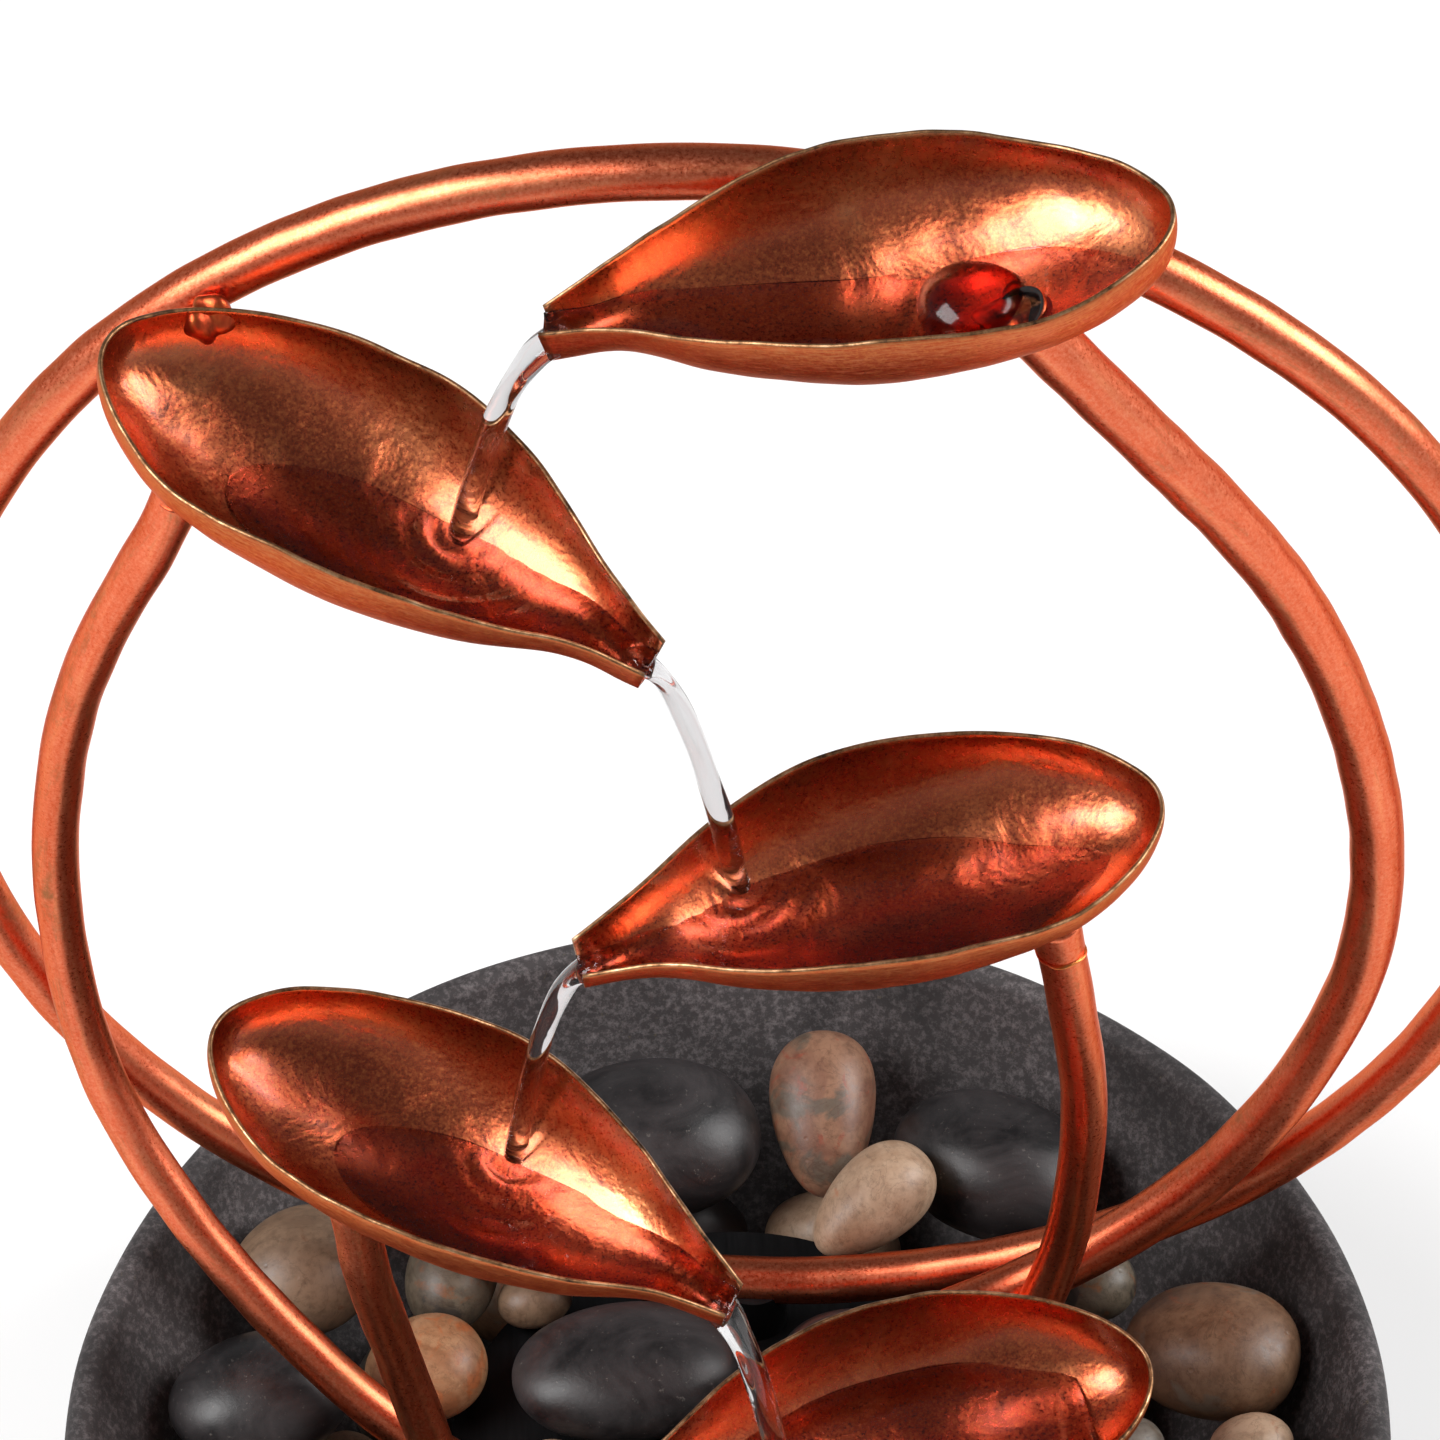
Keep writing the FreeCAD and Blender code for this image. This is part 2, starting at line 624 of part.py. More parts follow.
def make_rotor(axis_x, axis_z, front, bore_front, bore_end):
    """Magnet and impeller wheel, which turn on a fixed ceramic shaft held by two bushes."""
    shaft_front, shaft_back = front - 7.0, bore_end + 1.5
    hub_radius, hub_length, vane_count, vane_tip, vane_width = 3.6, 12.0, 5, 10.0, 7.0
    magnet_radius, magnet_length, front_bush_length = 6.0, 16.5, 5.0
    keep(cylinder("shaft", cell("shaft_radius"), shaft_back - shaft_front, axis_x, shaft_front,
                  axis_z, "Y"), "pump_shaft")
    loose_bore = cell("shaft_radius") + cell("running_gap")
    magnet_start = bore_front + 0.5
    keep(sleeve("magnet", magnet_radius, loose_bore, magnet_length, axis_x, magnet_start, axis_z,
                "Y"), "rotor_magnet")
    keep(sleeve("rear_bush", cell("bush_radius"), cell("shaft_radius"), cell("bush_length"),
                axis_x, bore_end, axis_z, "Y"), "rear_shaft_bush")
    keep(sleeve("front_bush", cell("bush_length"), loose_bore, front_bush_length, axis_x,
                shaft_front - 0.5, axis_z, "Y"), "front_shaft_bush")
    wheel = new_body("impeller_body")
    hub = circle_outline(wheel, "XZ_Plane", hub_radius)
    pad(wheel, hub, hub_length, back=True)
    vane = box_outline(wheel, "XZ_Plane", 2.0, -0.6, vane_tip, 0.6)
    blade = pad(wheel, vane, vane_width, back=True)
    polar_pattern(wheel, [blade], vane_count, hub)
    pocket(wheel, circle_outline(wheel, "XZ_Plane", loose_bore), hub_length)
    bind_place(wheel, axis_x, magnet_start - hub_length, axis_z)
    keep(wheel, "impeller_wheel")


def make_intake_cover(left, back, bottom, axis_x, axis_z):
    """An open-backed shell with slots, pulled off forwards to clean the impeller."""
    width, height, wall = cell("pump_width"), cell("pump_height"), cell("shell_wall")
    depth = cell("intake_depth")
    shell_front, top = back - depth, bottom + height
    slot_margin, slot_width, slot_run, slots_a_side = 3.5, 1.5, 7.5, 4
    boss_radius, bush_gap, pivot_radius, pivot_length = 4.0, 1.5, 1.5, 3.5
    cover = new_body("intake_cover_body")
    face = box_outline(cover, "XZ_Plane", left, bottom, left + width, top, -shell_front)
    pad(cover, face, depth, back=True)
    room = box_outline(cover, "XZ_Plane", left + wall, bottom + wall, left + width - wall,
                       top - wall, -back)
    pocket(cover, room, depth - wall, back=True)
    boss_length = depth - wall - bush_gap
    boss = circle_outline(cover, "XZ_Plane", boss_radius, axis_x, axis_z, -(shell_front + wall))
    pad(cover, boss, boss_length, back=True)
    boss_hole = circle_outline(cover, "XZ_Plane", cell("bush_length"), axis_x, axis_z,
                               -(shell_front + wall))
    pocket(cover, boss_hole, boss_length + 1.0)
    for first in (left + slot_margin, left + width - slot_margin - slot_width - slot_run):
        outline = box_outline(cover, "XZ_Plane", first, bottom + slot_margin, first + slot_width,
                              top - slot_margin, -shell_front)
        slit = pocket(cover, outline, wall + 0.5)
        linear_pattern(cover, [slit], "X_Axis", slot_run, slots_a_side)
    pivot = circle_outline(cover, "XZ_Plane", pivot_radius, axis_x, axis_z, -shell_front)
    pad(cover, pivot, pivot_length)
    keep(cover, "pump_intake_cover")


def make_regulator(axis_x, back, axis_z):
    """The flow dial: a disc with a finger lever, turning on the intake cover's pivot."""
    disc_radius, thickness, lever_width, lever_length = 6.5, 2.0, 2.4, 7.0
    dial_bore = 1.5 + cell("running_gap")
    disc = sleeve("dial_disc", disc_radius, dial_bore, thickness, axis_x, back - thickness,
                  axis_z, "Y")
    lever = block("dial_lever", lever_width, thickness, lever_length,
                  axis_x - lever_width / 2, back - thickness, axis_z + disc_radius - 2.0)
    keep(join("dial", [disc, lever]), "flow_regulator")


# ---------------------------------------------------------------- pebbles

# Each pebble: its centre (x, y, z), half sizes along its own three directions, turn in plan and
# tilt of its long direction (degrees). Pebbles on the deck lift off with the frame.
PEBBLES = {
    "pebbles_black_deck": [
        ((-18, 22.5, 49.7), (22, 15, 9), 5, 0), ((24, 24, 49.0), (13, 9, 8.2), 0, 0)],
    "pebbles_small_deck": [
        ((-35, 44, 46.0), (7.5, 6, 5.3), 20, 0), ((-32, 4.5, 45.5), (6, 5, 4.8), -30, 0),
        ((-12, 1, 45.8), (6.5, 5, 5), 15, 0)],
    "pebbles_front_deck": [
        ((-26, -16, 47.5), (12, 8, 7), 25, 0), ((-3, -21, 47.5), (11, 8, 7), -20, 0),
        ((6, -36, 47.0), (10, 5.5, 6.5), 5, 0), ((37, -7, 47.5), (11, 9, 7), 40, 0)],
    "pebble_cream": [((30.5, 56.5, 54.0), (14, 9, 8.5), 38, 12)],
    "pebble_orange": [((-55.5, 25.5, 49.8), (12, 10.5, 9), 20, 0)],
    "pebble_egg": [((22.5, 83.5, 48.5), (17.5, 11.5, 10), 88, 22)],
    "pebbles_black_rim": [
        ((-12.5, 79, 49.0), (23, 17.5, 13), 4, 0), ((55, 70, 46.5), (21, 15, 12.5), -32, 0),
        ((-87, 22, 48.8), (17.5, 13.5, 10), 12, 0), ((-75, -42, 46.0), (20, 13, 11), -60, 0),
        ((7, -85, 46.0), (18, 12.5, 11), 4, 0), ((86, -27, 46.0), (19, 12, 10), 72, 0)],
    "pebble_brown": [((-79, 51, 49.0), (14.5, 13, 11), 40, 0)],
    "pebble_mottled": [((-50.5, 48, 49.0), (12, 9, 9), 75, 0)],
    "pebbles_tan": [
        ((92, 17.5, 52.5), (17, 14, 11), -15, 0), ((-87, -9, 46.0), (14, 10, 10), 80, 0),
        ((-26, -80, 46.0), (13.5, 12, 10), -12, 0), ((68, -58, 46.0), (15, 12, 10), -48, 0)],
    "pebble_dark_mottled": [((72.5, 39, 47.0), (7.5, 7, 6.5), 30, 0)],
    "pebbles_small_rim": [
        ((97, -4, 51.0), (8, 6.5, 6), 10, 0), ((74, 0, 46.0), (8, 7, 6.5), 0, 0),
        ((-59, -21, 45.0), (9, 8, 7.5), 30, 0), ((60, -18, 45.0), (9, 8, 7.5), -30, 0),
        ((-46, 76, 47.0), (8, 7.5, 7), 20, 0)],
    "pebbles_cream_front": [
        ((-52.5, -68, 46.0), (14, 10.5, 10), -40, 0), ((41, -78, 46.0), (13, 11, 10), 22, 0),
        ((-27, -55, 45.0), (12, 9, 9), 20, 0), ((30, -53, 45.0), (13, 9, 9), -20, 0)]}

LOWER_PEBBLE_COUNT = 15
LOWER_PEBBLE_CIRCLE = 75.0
LOWER_PEBBLE_Z = 20.5


def pebble(centre, half_sizes, turn, tilt):
    stone = doc.addObject("Part::Ellipsoid", "pebble")
    stone.Radius2, stone.Radius3, stone.Radius1 = half_sizes
    stone.Placement = Placement(Vector(*centre), Rotation(turn, -tilt, 0))
    return stone


def make_pebbles():
    for label, stones in PEBBLES.items():
        keep(group(label + "_stones", [pebble(*stone) for stone in stones]), label)
    lower = []
    for number in range(LOWER_PEBBLE_COUNT):
        angle = 2 * math.pi * number / LOWER_PEBBLE_COUNT
        swell = 1.0 + 0.06 * math.sin(5 * angle)
        centre = (LOWER_PEBBLE_CIRCLE * math.cos(angle),
                  LOWER_PEBBLE_CIRCLE * math.sin(angle) + 1.0, LOWER_PEBBLE_Z)
        lower.append(pebble(centre, (9.5 * swell, 14.0 * swell, 12.5), math.degrees(angle), 0))
    keep(group("lower_stones", lower), "pebbles_lower")


# ---------------------------------------------------------------- assembly

def main():
    make_bowl()
    leaf_cores = {}
    for label, place in LEAF_PLACES.items():
        body, core = make_leaf(label, place)
        core.Placement = body.Placement * core.Placement
        leaf_cores[label] = core
        if label == "leaf_1":
            drill_inlet(body)
        else:
            keep(body, label)
    ring = make_ring()
    make_tubes(leaf_cores)
    saddle = make_deck()
    doc.recompute()
    post = saddle.Shape.cut(ring)
    keep(free_shape("saddle", post), "ring_saddle")
    tubes = [swept(FEED_ROUTE, cell("feed_tube_radius").number),
             swept(LEFT_SUPPORT_ROUTE, cell("support_tube_radius").number)]
    tubes += [swept(route, cell("stem_tube_radius").number) for route in STEM_ROUTES.values()]
    make_solder([ring] + list(leaf_cores.values()) + tubes)
    make_pump()
    make_pebbles()
    doc.recompute()

    for item in doc.Objects:
        if "Invalid" in item.State or "Error" in item.State:
            raise RuntimeError(f"{item.Name} ({item.Label}) did not recompute: {item.State}")
    os.makedirs("parts", exist_ok=True)
    for item in parts:
        shape = item.Shape
        if shape.isNull() or not shape.isValid():
            raise RuntimeError(f"{item.Label} has no valid shape")
        shape.exportStep(os.path.join("parts", item.Label + ".step"))
        print(f"{item.Label}: {len(shape.Solids)} solids, {shape.Volume / 1000:.2f} cm3")


main()
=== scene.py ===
import cmath
import json
import math

import bmesh
import bpy
import numpy as np
from mathutils import Matrix, Vector


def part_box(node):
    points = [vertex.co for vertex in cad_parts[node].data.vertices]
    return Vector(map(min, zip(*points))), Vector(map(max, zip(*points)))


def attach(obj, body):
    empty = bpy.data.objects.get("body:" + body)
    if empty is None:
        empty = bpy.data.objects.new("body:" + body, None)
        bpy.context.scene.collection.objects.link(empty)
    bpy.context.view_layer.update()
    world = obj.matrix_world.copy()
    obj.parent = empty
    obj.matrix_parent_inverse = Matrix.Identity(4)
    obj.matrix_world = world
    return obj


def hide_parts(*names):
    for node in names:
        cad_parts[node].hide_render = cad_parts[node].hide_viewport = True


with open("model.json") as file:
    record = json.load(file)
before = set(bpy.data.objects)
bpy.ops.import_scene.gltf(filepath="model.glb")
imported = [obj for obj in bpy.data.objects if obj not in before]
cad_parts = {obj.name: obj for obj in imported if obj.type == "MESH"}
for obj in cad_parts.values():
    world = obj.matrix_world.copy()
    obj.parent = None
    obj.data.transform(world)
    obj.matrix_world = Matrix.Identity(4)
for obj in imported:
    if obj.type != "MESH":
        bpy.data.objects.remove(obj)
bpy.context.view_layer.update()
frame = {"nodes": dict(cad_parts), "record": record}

# A tabletop fountain: copper leaf cups on bent copper tubes over a stone-effect bowl of pebbles.
# Metres, +Z up, +X right, +Y away from the front. MM turns the part's millimetres into metres.

MM = 0.001
SAME_POINT = 0.004  # points nearer than this are joined
SPACING_SPREAD = (0.7, 1.6)  # how much shorter and longer than asked the waves are
FRAME_BODY = "fountain_frame"
BOWL_BODY = "bowl_assembly"


# ---- numbers that vary smoothly

def waves(points, size, seed, count=10):
    """A smooth wandering value from about -1 to 1 at each point; size is the bumps' spacing."""
    rng = np.random.default_rng(seed)
    total = np.zeros(len(points))
    for _ in range(count):
        direction = rng.normal(size=3)
        direction /= np.linalg.norm(direction)
        length = size * rng.uniform(*SPACING_SPREAD)
        total += np.sin(points @ direction * (2 * math.pi / length) + rng.uniform(0, 2 * math.pi))
    return total / math.sqrt(count)


def smooth_table(rows, at):
    """Columns 1.. of rows, read smoothly at the places `at` of column 0."""
    x, y = rows[:, 0], rows[:, 1:]
    slopes = np.gradient(y, x, axis=0)
    at = np.clip(at, x[0], x[-1])
    i = np.clip(np.searchsorted(x, at) - 1, 0, len(x) - 2)
    step = (x[i + 1] - x[i])[:, None]
    t = (at - x[i])[:, None] / step
    return ((2 * t ** 3 - 3 * t ** 2 + 1) * y[i] + (t ** 3 - 2 * t ** 2 + t) * step * slopes[i]
            + (3 * t ** 2 - 2 * t ** 3) * y[i + 1] + (t ** 3 - t ** 2) * step * slopes[i + 1])


def unit(vectors):
    return vectors / np.maximum(np.linalg.norm(vectors, axis=-1, keepdims=True), 1e-12)


def circle(count):
    return np.linspace(0, 2 * math.pi, count, endpoint=False)


# ---- helpers for meshes

def new_piece(name, points, faces, materials, face_material=None):
    mesh = bpy.data.meshes.new(name)
    mesh.from_pydata([tuple(p) for p in points], [], faces)
    mesh.validate()
    piece = bpy.data.objects.new(name, mesh)
    bpy.context.scene.collection.objects.link(piece)
    for material in materials:
        mesh.materials.append(material)
    if face_material is not None:
        mesh.polygons.foreach_set("material_index", face_material)
    mesh.polygons.foreach_set("use_smooth", [True] * len(mesh.polygons))
    mesh.update()
    return piece


def point_values(piece, name, values):
    """A number at each point of the mesh, which a material reads by name."""
    attribute = piece.data.attributes.new(name, "FLOAT", "POINT")
    attribute.data.foreach_set("value", np.asarray(values, np.float32))


def strip_faces(rows, cols, closed=False):
    """Quads over a grid whose rows are rings; closed joins its last row to its first."""
    faces = []
    for i in range(rows if closed else rows - 1):
        for j in range(cols):
            a, b = i * cols + j, i * cols + (j + 1) % cols
            c, d = ((i + 1) % rows) * cols + (j + 1) % cols, ((i + 1) % rows) * cols + j
            faces.append((a, b, c, d))
    return faces


def outward(piece):
    """Joins a closed mesh's repeated points and turns every face to face out."""
    work = bmesh.new()
    work.from_mesh(piece.data)
    bmesh.ops.remove_doubles(work, verts=work.verts, dist=SAME_POINT * MM)
    bmesh.ops.recalc_face_normals(work, faces=work.faces)
    work.to_mesh(piece.data)
    work.free()
    return piece


def finish_piece(piece, slot=None, node=None, body=FRAME_BODY):
    """Sets the body that the piece rides on, and hides the CAD node that it stands in for when it
    has a slot.
    """
    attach(piece, body)
    if slot:
        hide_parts(node)


def nurbs_points(route, step):
    """Evenly spaced points, step apart, on the smooth curve that the route's points steer."""
    curve = bpy.data.curves.new("route", "CURVE")
    curve.dimensions = "3D"
    spline = curve.splines.new("NURBS")
    spline.points.add(len(route) - 1)
    for spot, place in zip(spline.points, route):
        spot.co = (*(value * MM for value in place), 1.0)
    spline.order_u = 3
    spline.use_endpoint_u = True
    spline.resolution_u = 24
    holder = bpy.data.objects.new("route", curve)
    line = bpy.data.meshes.new_from_object(holder)
    dense = np.array([v.co for v in line.vertices], float)
    bpy.data.objects.remove(holder)
    bpy.data.curves.remove(curve)
    bpy.data.meshes.remove(line)
    along = np.concatenate([[0], np.cumsum(np.linalg.norm(np.diff(dense, axis=0), axis=1))])
    even = np.linspace(0, along[-1], int(along[-1] / step))
    return np.stack([np.interp(even, along, dense[:, k]) for k in range(3)], 1)


def travelling_frames(line, closed=False):
    """Two directions across the line at each of its points, which turn as little as possible."""
    ahead = unit(np.gradient(line, axis=0))
    if closed:
        ahead = unit(np.roll(line, -1, 0) - np.roll(line, 1, 0))
    side = np.zeros_like(line)
    first = np.cross(ahead[0], [0, 0, 1])
    if np.linalg.norm(first) < 0.1:
        first = np.cross(ahead[0], [1, 0, 0])
    side[0] = unit(first)
    for i in range(1, len(line)):
        side[i] = unit(side[i - 1] - ahead[i] * (side[i - 1] @ ahead[i]))
    return side, np.cross(ahead, side)


TUBE_WALL = 0.6
BORE_ROWS = 1  # how many rows of an open tube's bore are drawn
WOBBLE = 0.07  # how uneven tubes and streams are
WOBBLE_SPACING = 14.0
PAST_WALL = 0.3  # the most that a point is counted as being past a leaf's wall


def end_at_leaf(points, leaf):
    """Ends each straight column of a tube's points at the middle of the leaf's wall."""
    rows, around = points.shape[:2]
    share, skin = wall_of_leaf(leaf, points.reshape(-1, 3) / MM)[2:]
    past = (share - skin).reshape(rows, around)
    for j in range(around):
        row = int(np.argmax(past[:, j] > 0))
        if row:
            before, after = past[row - 1, j], min(past[row, j], PAST_WALL)
            t = -before / (after - before)
            points[:row, j] = points[row - 1, j] + (points[row, j] - points[row - 1, j]) * t
    return points


def tube_piece(name, line, radii, material, seed, around=40, closed=False, squeeze=1.0,
               leaf=None, into=None, mouth_shadow=None):
    """A tube along the line. radii and squeeze, its thin way as a share of its wide way, are
    one number or one for each point. It can end under a leaf, fall into one, or start in an
    open mouth whose short bore is painted black as shadow."""
    side, up = travelling_frames(line, closed)
    radii = np.broadcast_to(radii, len(line))
    squeeze = np.broadcast_to(squeeze, len(line))
    angles = circle(around)
    ring = (np.cos(angles)[None, :, None] * side[:, None, :]
            + squeeze[:, None, None] * np.sin(angles)[None, :, None] * up[:, None, :])
    points = line[:, None, :] + ring * radii[:, None, None]
    uneven = waves(points.reshape(-1, 3), WOBBLE_SPACING * MM, seed).reshape(points.shape[:2])
    points = points + ring * (uneven * WOBBLE * MM)[..., None]
    steps = np.linalg.norm(np.diff(line, axis=0), axis=1)
    along = np.concatenate([[0], np.cumsum(steps)])
    if leaf:
        points = end_at_leaf(points, leaf)
    if into:
        points = meet_leaf(into, points.reshape(-1, 3) / MM, True).reshape(points.shape) * MM
    # Painted shadow: the bore's rows and its floor take the near-black material.
    if mouth_shadow:
        bore = line[:, None, :] + ring * (radii[:, None, None] - TUBE_WALL * MM)
        points = np.concatenate([bore[BORE_ROWS::-1], points])
        along = np.concatenate([along[BORE_ROWS::-1], along])
    rows = len(points)
    faces = strip_faces(rows, around, closed)
    if not closed:
        faces.append(tuple(range((rows - 1) * around, rows * around))[::-1])
        faces.append(tuple(range(around)))
    kinds = [0] * len(faces)
    if mouth_shadow:
        bore_faces = (BORE_ROWS + 1) * around
        kinds[:bore_faces] = [1] * bore_faces
        kinds[-1] = 1
    piece = new_piece(name, points.reshape(-1, 3), faces, [material, mouth_shadow or material], kinds)
    point_values(piece, "along", np.repeat(along, around))
    point_values(piece, "turn", np.tile(np.sin(angles), rows))
    return outward(piece)


# ---- helpers for materials

class Paint:
    """A node material being put together: most calls add a node and return its output."""

    def __init__(self, name):
        self.material = bpy.data.materials.new(name)
        self.material.use_nodes = True
        self.tree = self.material.node_tree
        self.place = self.add("TexCoord", {}).outputs["Object"]

    def feed(self, node, sockets):
        """Puts a value, or a link from another node's output, in each socket that has one."""
        for name, value in sockets.items():
            socket = node.inputs[name]
            if isinstance(value, bpy.types.NodeSocket):
                self.tree.links.new(value, socket)
            elif isinstance(value, tuple) and socket.type == "RGBA":
                socket.default_value = (*value, 1.0)
            elif value is not None:
                socket.default_value = value

    def add(self, kind, sockets, **settings):
        node = self.tree.nodes.new("ShaderNode" + kind)
        for name, value in settings.items():
            setattr(node, name, value)
        self.feed(node, sockets)
        return node

    def noise(self, scale, detail=4.0, rough=0.55, distortion=0.0, place=None):
        return self.add("TexNoise", {
            "Vector": place or self.place, "Scale": scale, "Detail": detail, "Roughness": rough,
            "Distortion": distortion}).outputs["Fac"]

    def cells(self, scale):
        return self.add("TexVoronoi", {"Vector": self.place, "Scale": scale}).outputs["Distance"]

    def ramp(self, value, *stops):
        """Colours or grey levels against a value; stops are (place, colour or level)."""
        node = self.add("ValToRGB", {0: value})
        marks = node.color_ramp.elements
        while len(marks) < len(stops):
            marks.new(0.5)
        for mark, (position, colour) in zip(marks, stops):
            mark.position = position
            level = colour if isinstance(colour, tuple) else (colour,) * 3
            mark.color = (*level, 1.0)
        return node.outputs["Color"]

    def specked(self, colour, speck, noise, low, high, amount):
        """The colour with specks where a noise is high."""
        return self.mix(self.ramp(self.noise(*noise), (low, 0.0), (high, amount)), colour, speck)

    def mix(self, share, first, second):
        return self.add("Mix", {0: share, 6: first, 7: second}, data_type="RGBA").outputs[2]

    def times(self, first, second, operation="MULTIPLY"):
        return self.add("Math", {0: first, 1: second}, operation=operation).outputs[0]

    def value(self, name):
        """A number stored at the mesh's points by point_values."""
        return self.add("Attribute", {}, attribute_name=name).outputs["Fac"]

    def vector(self, x, y, z):
        return self.add("CombineXYZ", {0: x, 1: y, 2: z}).outputs[0]

    def bump(self, height, strength, distance, normal=None):
        return self.add("Bump", {"Strength": strength, "Distance": distance, "Height": height,
                                 "Normal": normal}).outputs[0]

    def done(self, **sockets):
        self.feed(self.tree.nodes["Principled BSDF"],
                  {name.replace("_", " "): value for name, value in sockets.items()})
        return self.material


# ---- copper

COPPER_DEEP = (0.27, 0.024, 0.01)
COPPER_RED = (0.56, 0.08, 0.03)
COPPER_BODY = (0.72, 0.15, 0.068)
COPPER_GOLD = (0.86, 0.33, 0.1)
COPPER_PALE = (0.88, 0.36, 0.215)
WORN_GOLD = (0.4, 0.18, 0.06)
PATINA_BROWN = (0.07, 0.03, 0.017)
EDGE_TINT = (0.8, 0.52, 0.42)


def copper_inside():
    """Lacquered copper in the cups: deep red painted shade at the bottom, gold-brown and specked
    by the edge.
    """
    paint = Paint("leaf_copper_inside")
    clouds = paint.noise(34, 6, 0.62, 0.4)
    grain = paint.noise(1500, 4, 0.75)
    fine = paint.noise(300, 5, 0.7)
    edge = paint.value("edge")
    colour = paint.ramp(clouds, (0.3, (0.4, 0.062, 0.026)), (0.5, (0.62, 0.135, 0.052)),
                        (0.68, (0.92, 0.36, 0.15)))
    # Painted shade: deep red mixed in towards the bottom of the cup.
    colour = paint.mix(paint.ramp(edge, (0.0, 0.5), (0.4, 0.0)), colour, COPPER_DEEP)
    colour = paint.mix(paint.ramp(grain, (0.48, 0.0), (0.7, 0.45)), colour, COPPER_GOLD)
    colour = paint.mix(paint.ramp(fine, (0.3, 0.2), (0.44, 0.0)), colour, COPPER_DEEP)
    worn = paint.times(paint.ramp(edge, (0.5, 0.0), (0.95, 1.0)),
                       paint.ramp(fine, (0.4, 0.08), (0.62, 0.75)))
    colour = paint.mix(worn, colour, WORN_GOLD)
    dark = paint.times(paint.ramp(paint.noise(230, 6, 0.8), (0.59, 0.0), (0.7, 0.75)),
                       paint.ramp(edge, (0.35, 0.12), (0.92, 1.0)))
    colour = paint.mix(dark, colour, PATINA_BROWN)
    rough = paint.ramp(grain, (0.3, 0.22), (0.7, 0.38))
    normal = paint.bump(grain, 0.2, 0.15 * MM)
    normal = paint.bump(paint.noise(75, 4, 0.55, 0.5), 0.6, 1.2 * MM, normal)
    return paint.done(Base_Color=colour, Roughness=rough, Metallic=1.0, Normal=normal,
                      Specular_Tint=EDGE_TINT, Coat_Weight=0.6, Coat_Roughness=0.2)


def copper_outside():
    """The cups' undersides: satin, brushed along the leaf, worn gold just below the edge."""
    paint = Paint("leaf_copper_outside")
    edge = paint.value("edge")
    along = paint.value("along")
    brushed = paint.noise(1.0, 5, 0.75, 0.0, paint.vector(
        paint.times(along, 260.0), paint.times(edge, 75.0), 0.0))
    grain = paint.noise(1400, 4, 0.75)
    clouds = paint.noise(30, 4, 0.55, 0.4)
    colour = paint.ramp(clouds, (0.32, (0.44, 0.062, 0.025)), (0.55, COPPER_RED),
                        (0.74, COPPER_BODY))
    colour = paint.mix(paint.ramp(brushed, (0.5, 0.0), (0.7, 0.5)), colour, COPPER_PALE)
    colour = paint.mix(paint.ramp(brushed, (0.36, 0.75), (0.52, 0.0)), colour, COPPER_DEEP)
    colour = paint.mix(paint.ramp(grain, (0.46, 0.0), (0.74, 0.45)), colour, COPPER_GOLD)
    worn = paint.times(paint.ramp(edge, (0.7, 0.0), (0.99, 0.85)),
                       paint.ramp(brushed, (0.4, 0.15), (0.62, 0.9)))
    colour = paint.mix(worn, colour, WORN_GOLD)
    colour = paint.specked(colour, PATINA_BROWN, (420, 5, 0.75), 0.64, 0.72, 0.7)
    rough = paint.ramp(brushed, (0.3, 0.34), (0.7, 0.5))
    normal = paint.bump(grain, 0.2, 0.15 * MM)
    return paint.done(Base_Color=colour, Roughness=rough, Metallic=1.0, Normal=normal,
                      Specular_Tint=EDGE_TINT)


def copper_edge():
    """The cups' cut edges: thin and worn pale, with short dark dashes of patina."""
    paint = Paint("leaf_edge_worn")
    dashes = paint.noise(170, 6, 0.8)
    colour = paint.ramp(dashes, (0.36, (0.05, 0.028, 0.018)), (0.48, (0.26, 0.13, 0.06)),
                        (0.6, (0.52, 0.3, 0.16)), (0.76, (0.74, 0.55, 0.38)))
    rough = paint.ramp(dashes, (0.35, 0.55), (0.7, 0.34))
    return paint.done(Base_Color=colour, Roughness=rough, Metallic=1.0,
                      Normal=paint.bump(dashes, 0.15, 0.2 * MM))


def copper_tube(name, wear, seed_shift):
    """Plated tube: fine grained, with gold-brown rough patches where the plating has worn."""
    paint = Paint(name)
    along = paint.times(paint.value("along"), seed_shift, "ADD")
    turn = paint.value("turn")
    drawn = paint.noise(1.0, 4, 0.6, 0.3, paint.vector(
        paint.times(along, 42.0), paint.times(turn, 2.6), seed_shift))
    worn = paint.noise(1.0, 7, 0.74, 0.5, paint.vector(
        paint.times(along, 40.0), paint.times(turn, 0.9), seed_shift + 3.0))
    grain = paint.noise(1500, 4, 0.78)
    colour = paint.ramp(drawn, (0.28, (0.62, 0.105, 0.042)), (0.52, COPPER_BODY),
                        (0.76, (0.8, 0.235, 0.105)))
    colour = paint.mix(paint.ramp(grain, (0.46, 0.0), (0.74, 0.55)), colour, COPPER_PALE)
    colour = paint.mix(paint.ramp(grain, (0.26, 0.4), (0.44, 0.0)), colour, COPPER_DEEP)
    patina = paint.times(paint.ramp(worn, (0.55 - wear, 0.0), (0.7 - wear, 0.85)),
                         paint.ramp(paint.noise(360, 6, 0.8), (0.38, 0.15), (0.6, 1.0)))
    colour = paint.mix(patina, colour, (0.26, 0.135, 0.058))
    colour = paint.specked(colour, PATINA_BROWN, (480, 5, 0.75), 0.68, 0.76, 0.5)
    rough = paint.mix(patina, paint.ramp(grain, (0.3, 0.24), (0.7, 0.4)), (0.5,) * 3)
    normal = paint.bump(grain, 0.18, 0.15 * MM)
    normal = paint.bump(paint.noise(120, 4, 0.6), 0.08, 0.4 * MM, normal)
    return paint.done(Base_Color=colour, Roughness=rough, Metallic=1.0, Normal=normal,
                      Specular_Tint=EDGE_TINT)


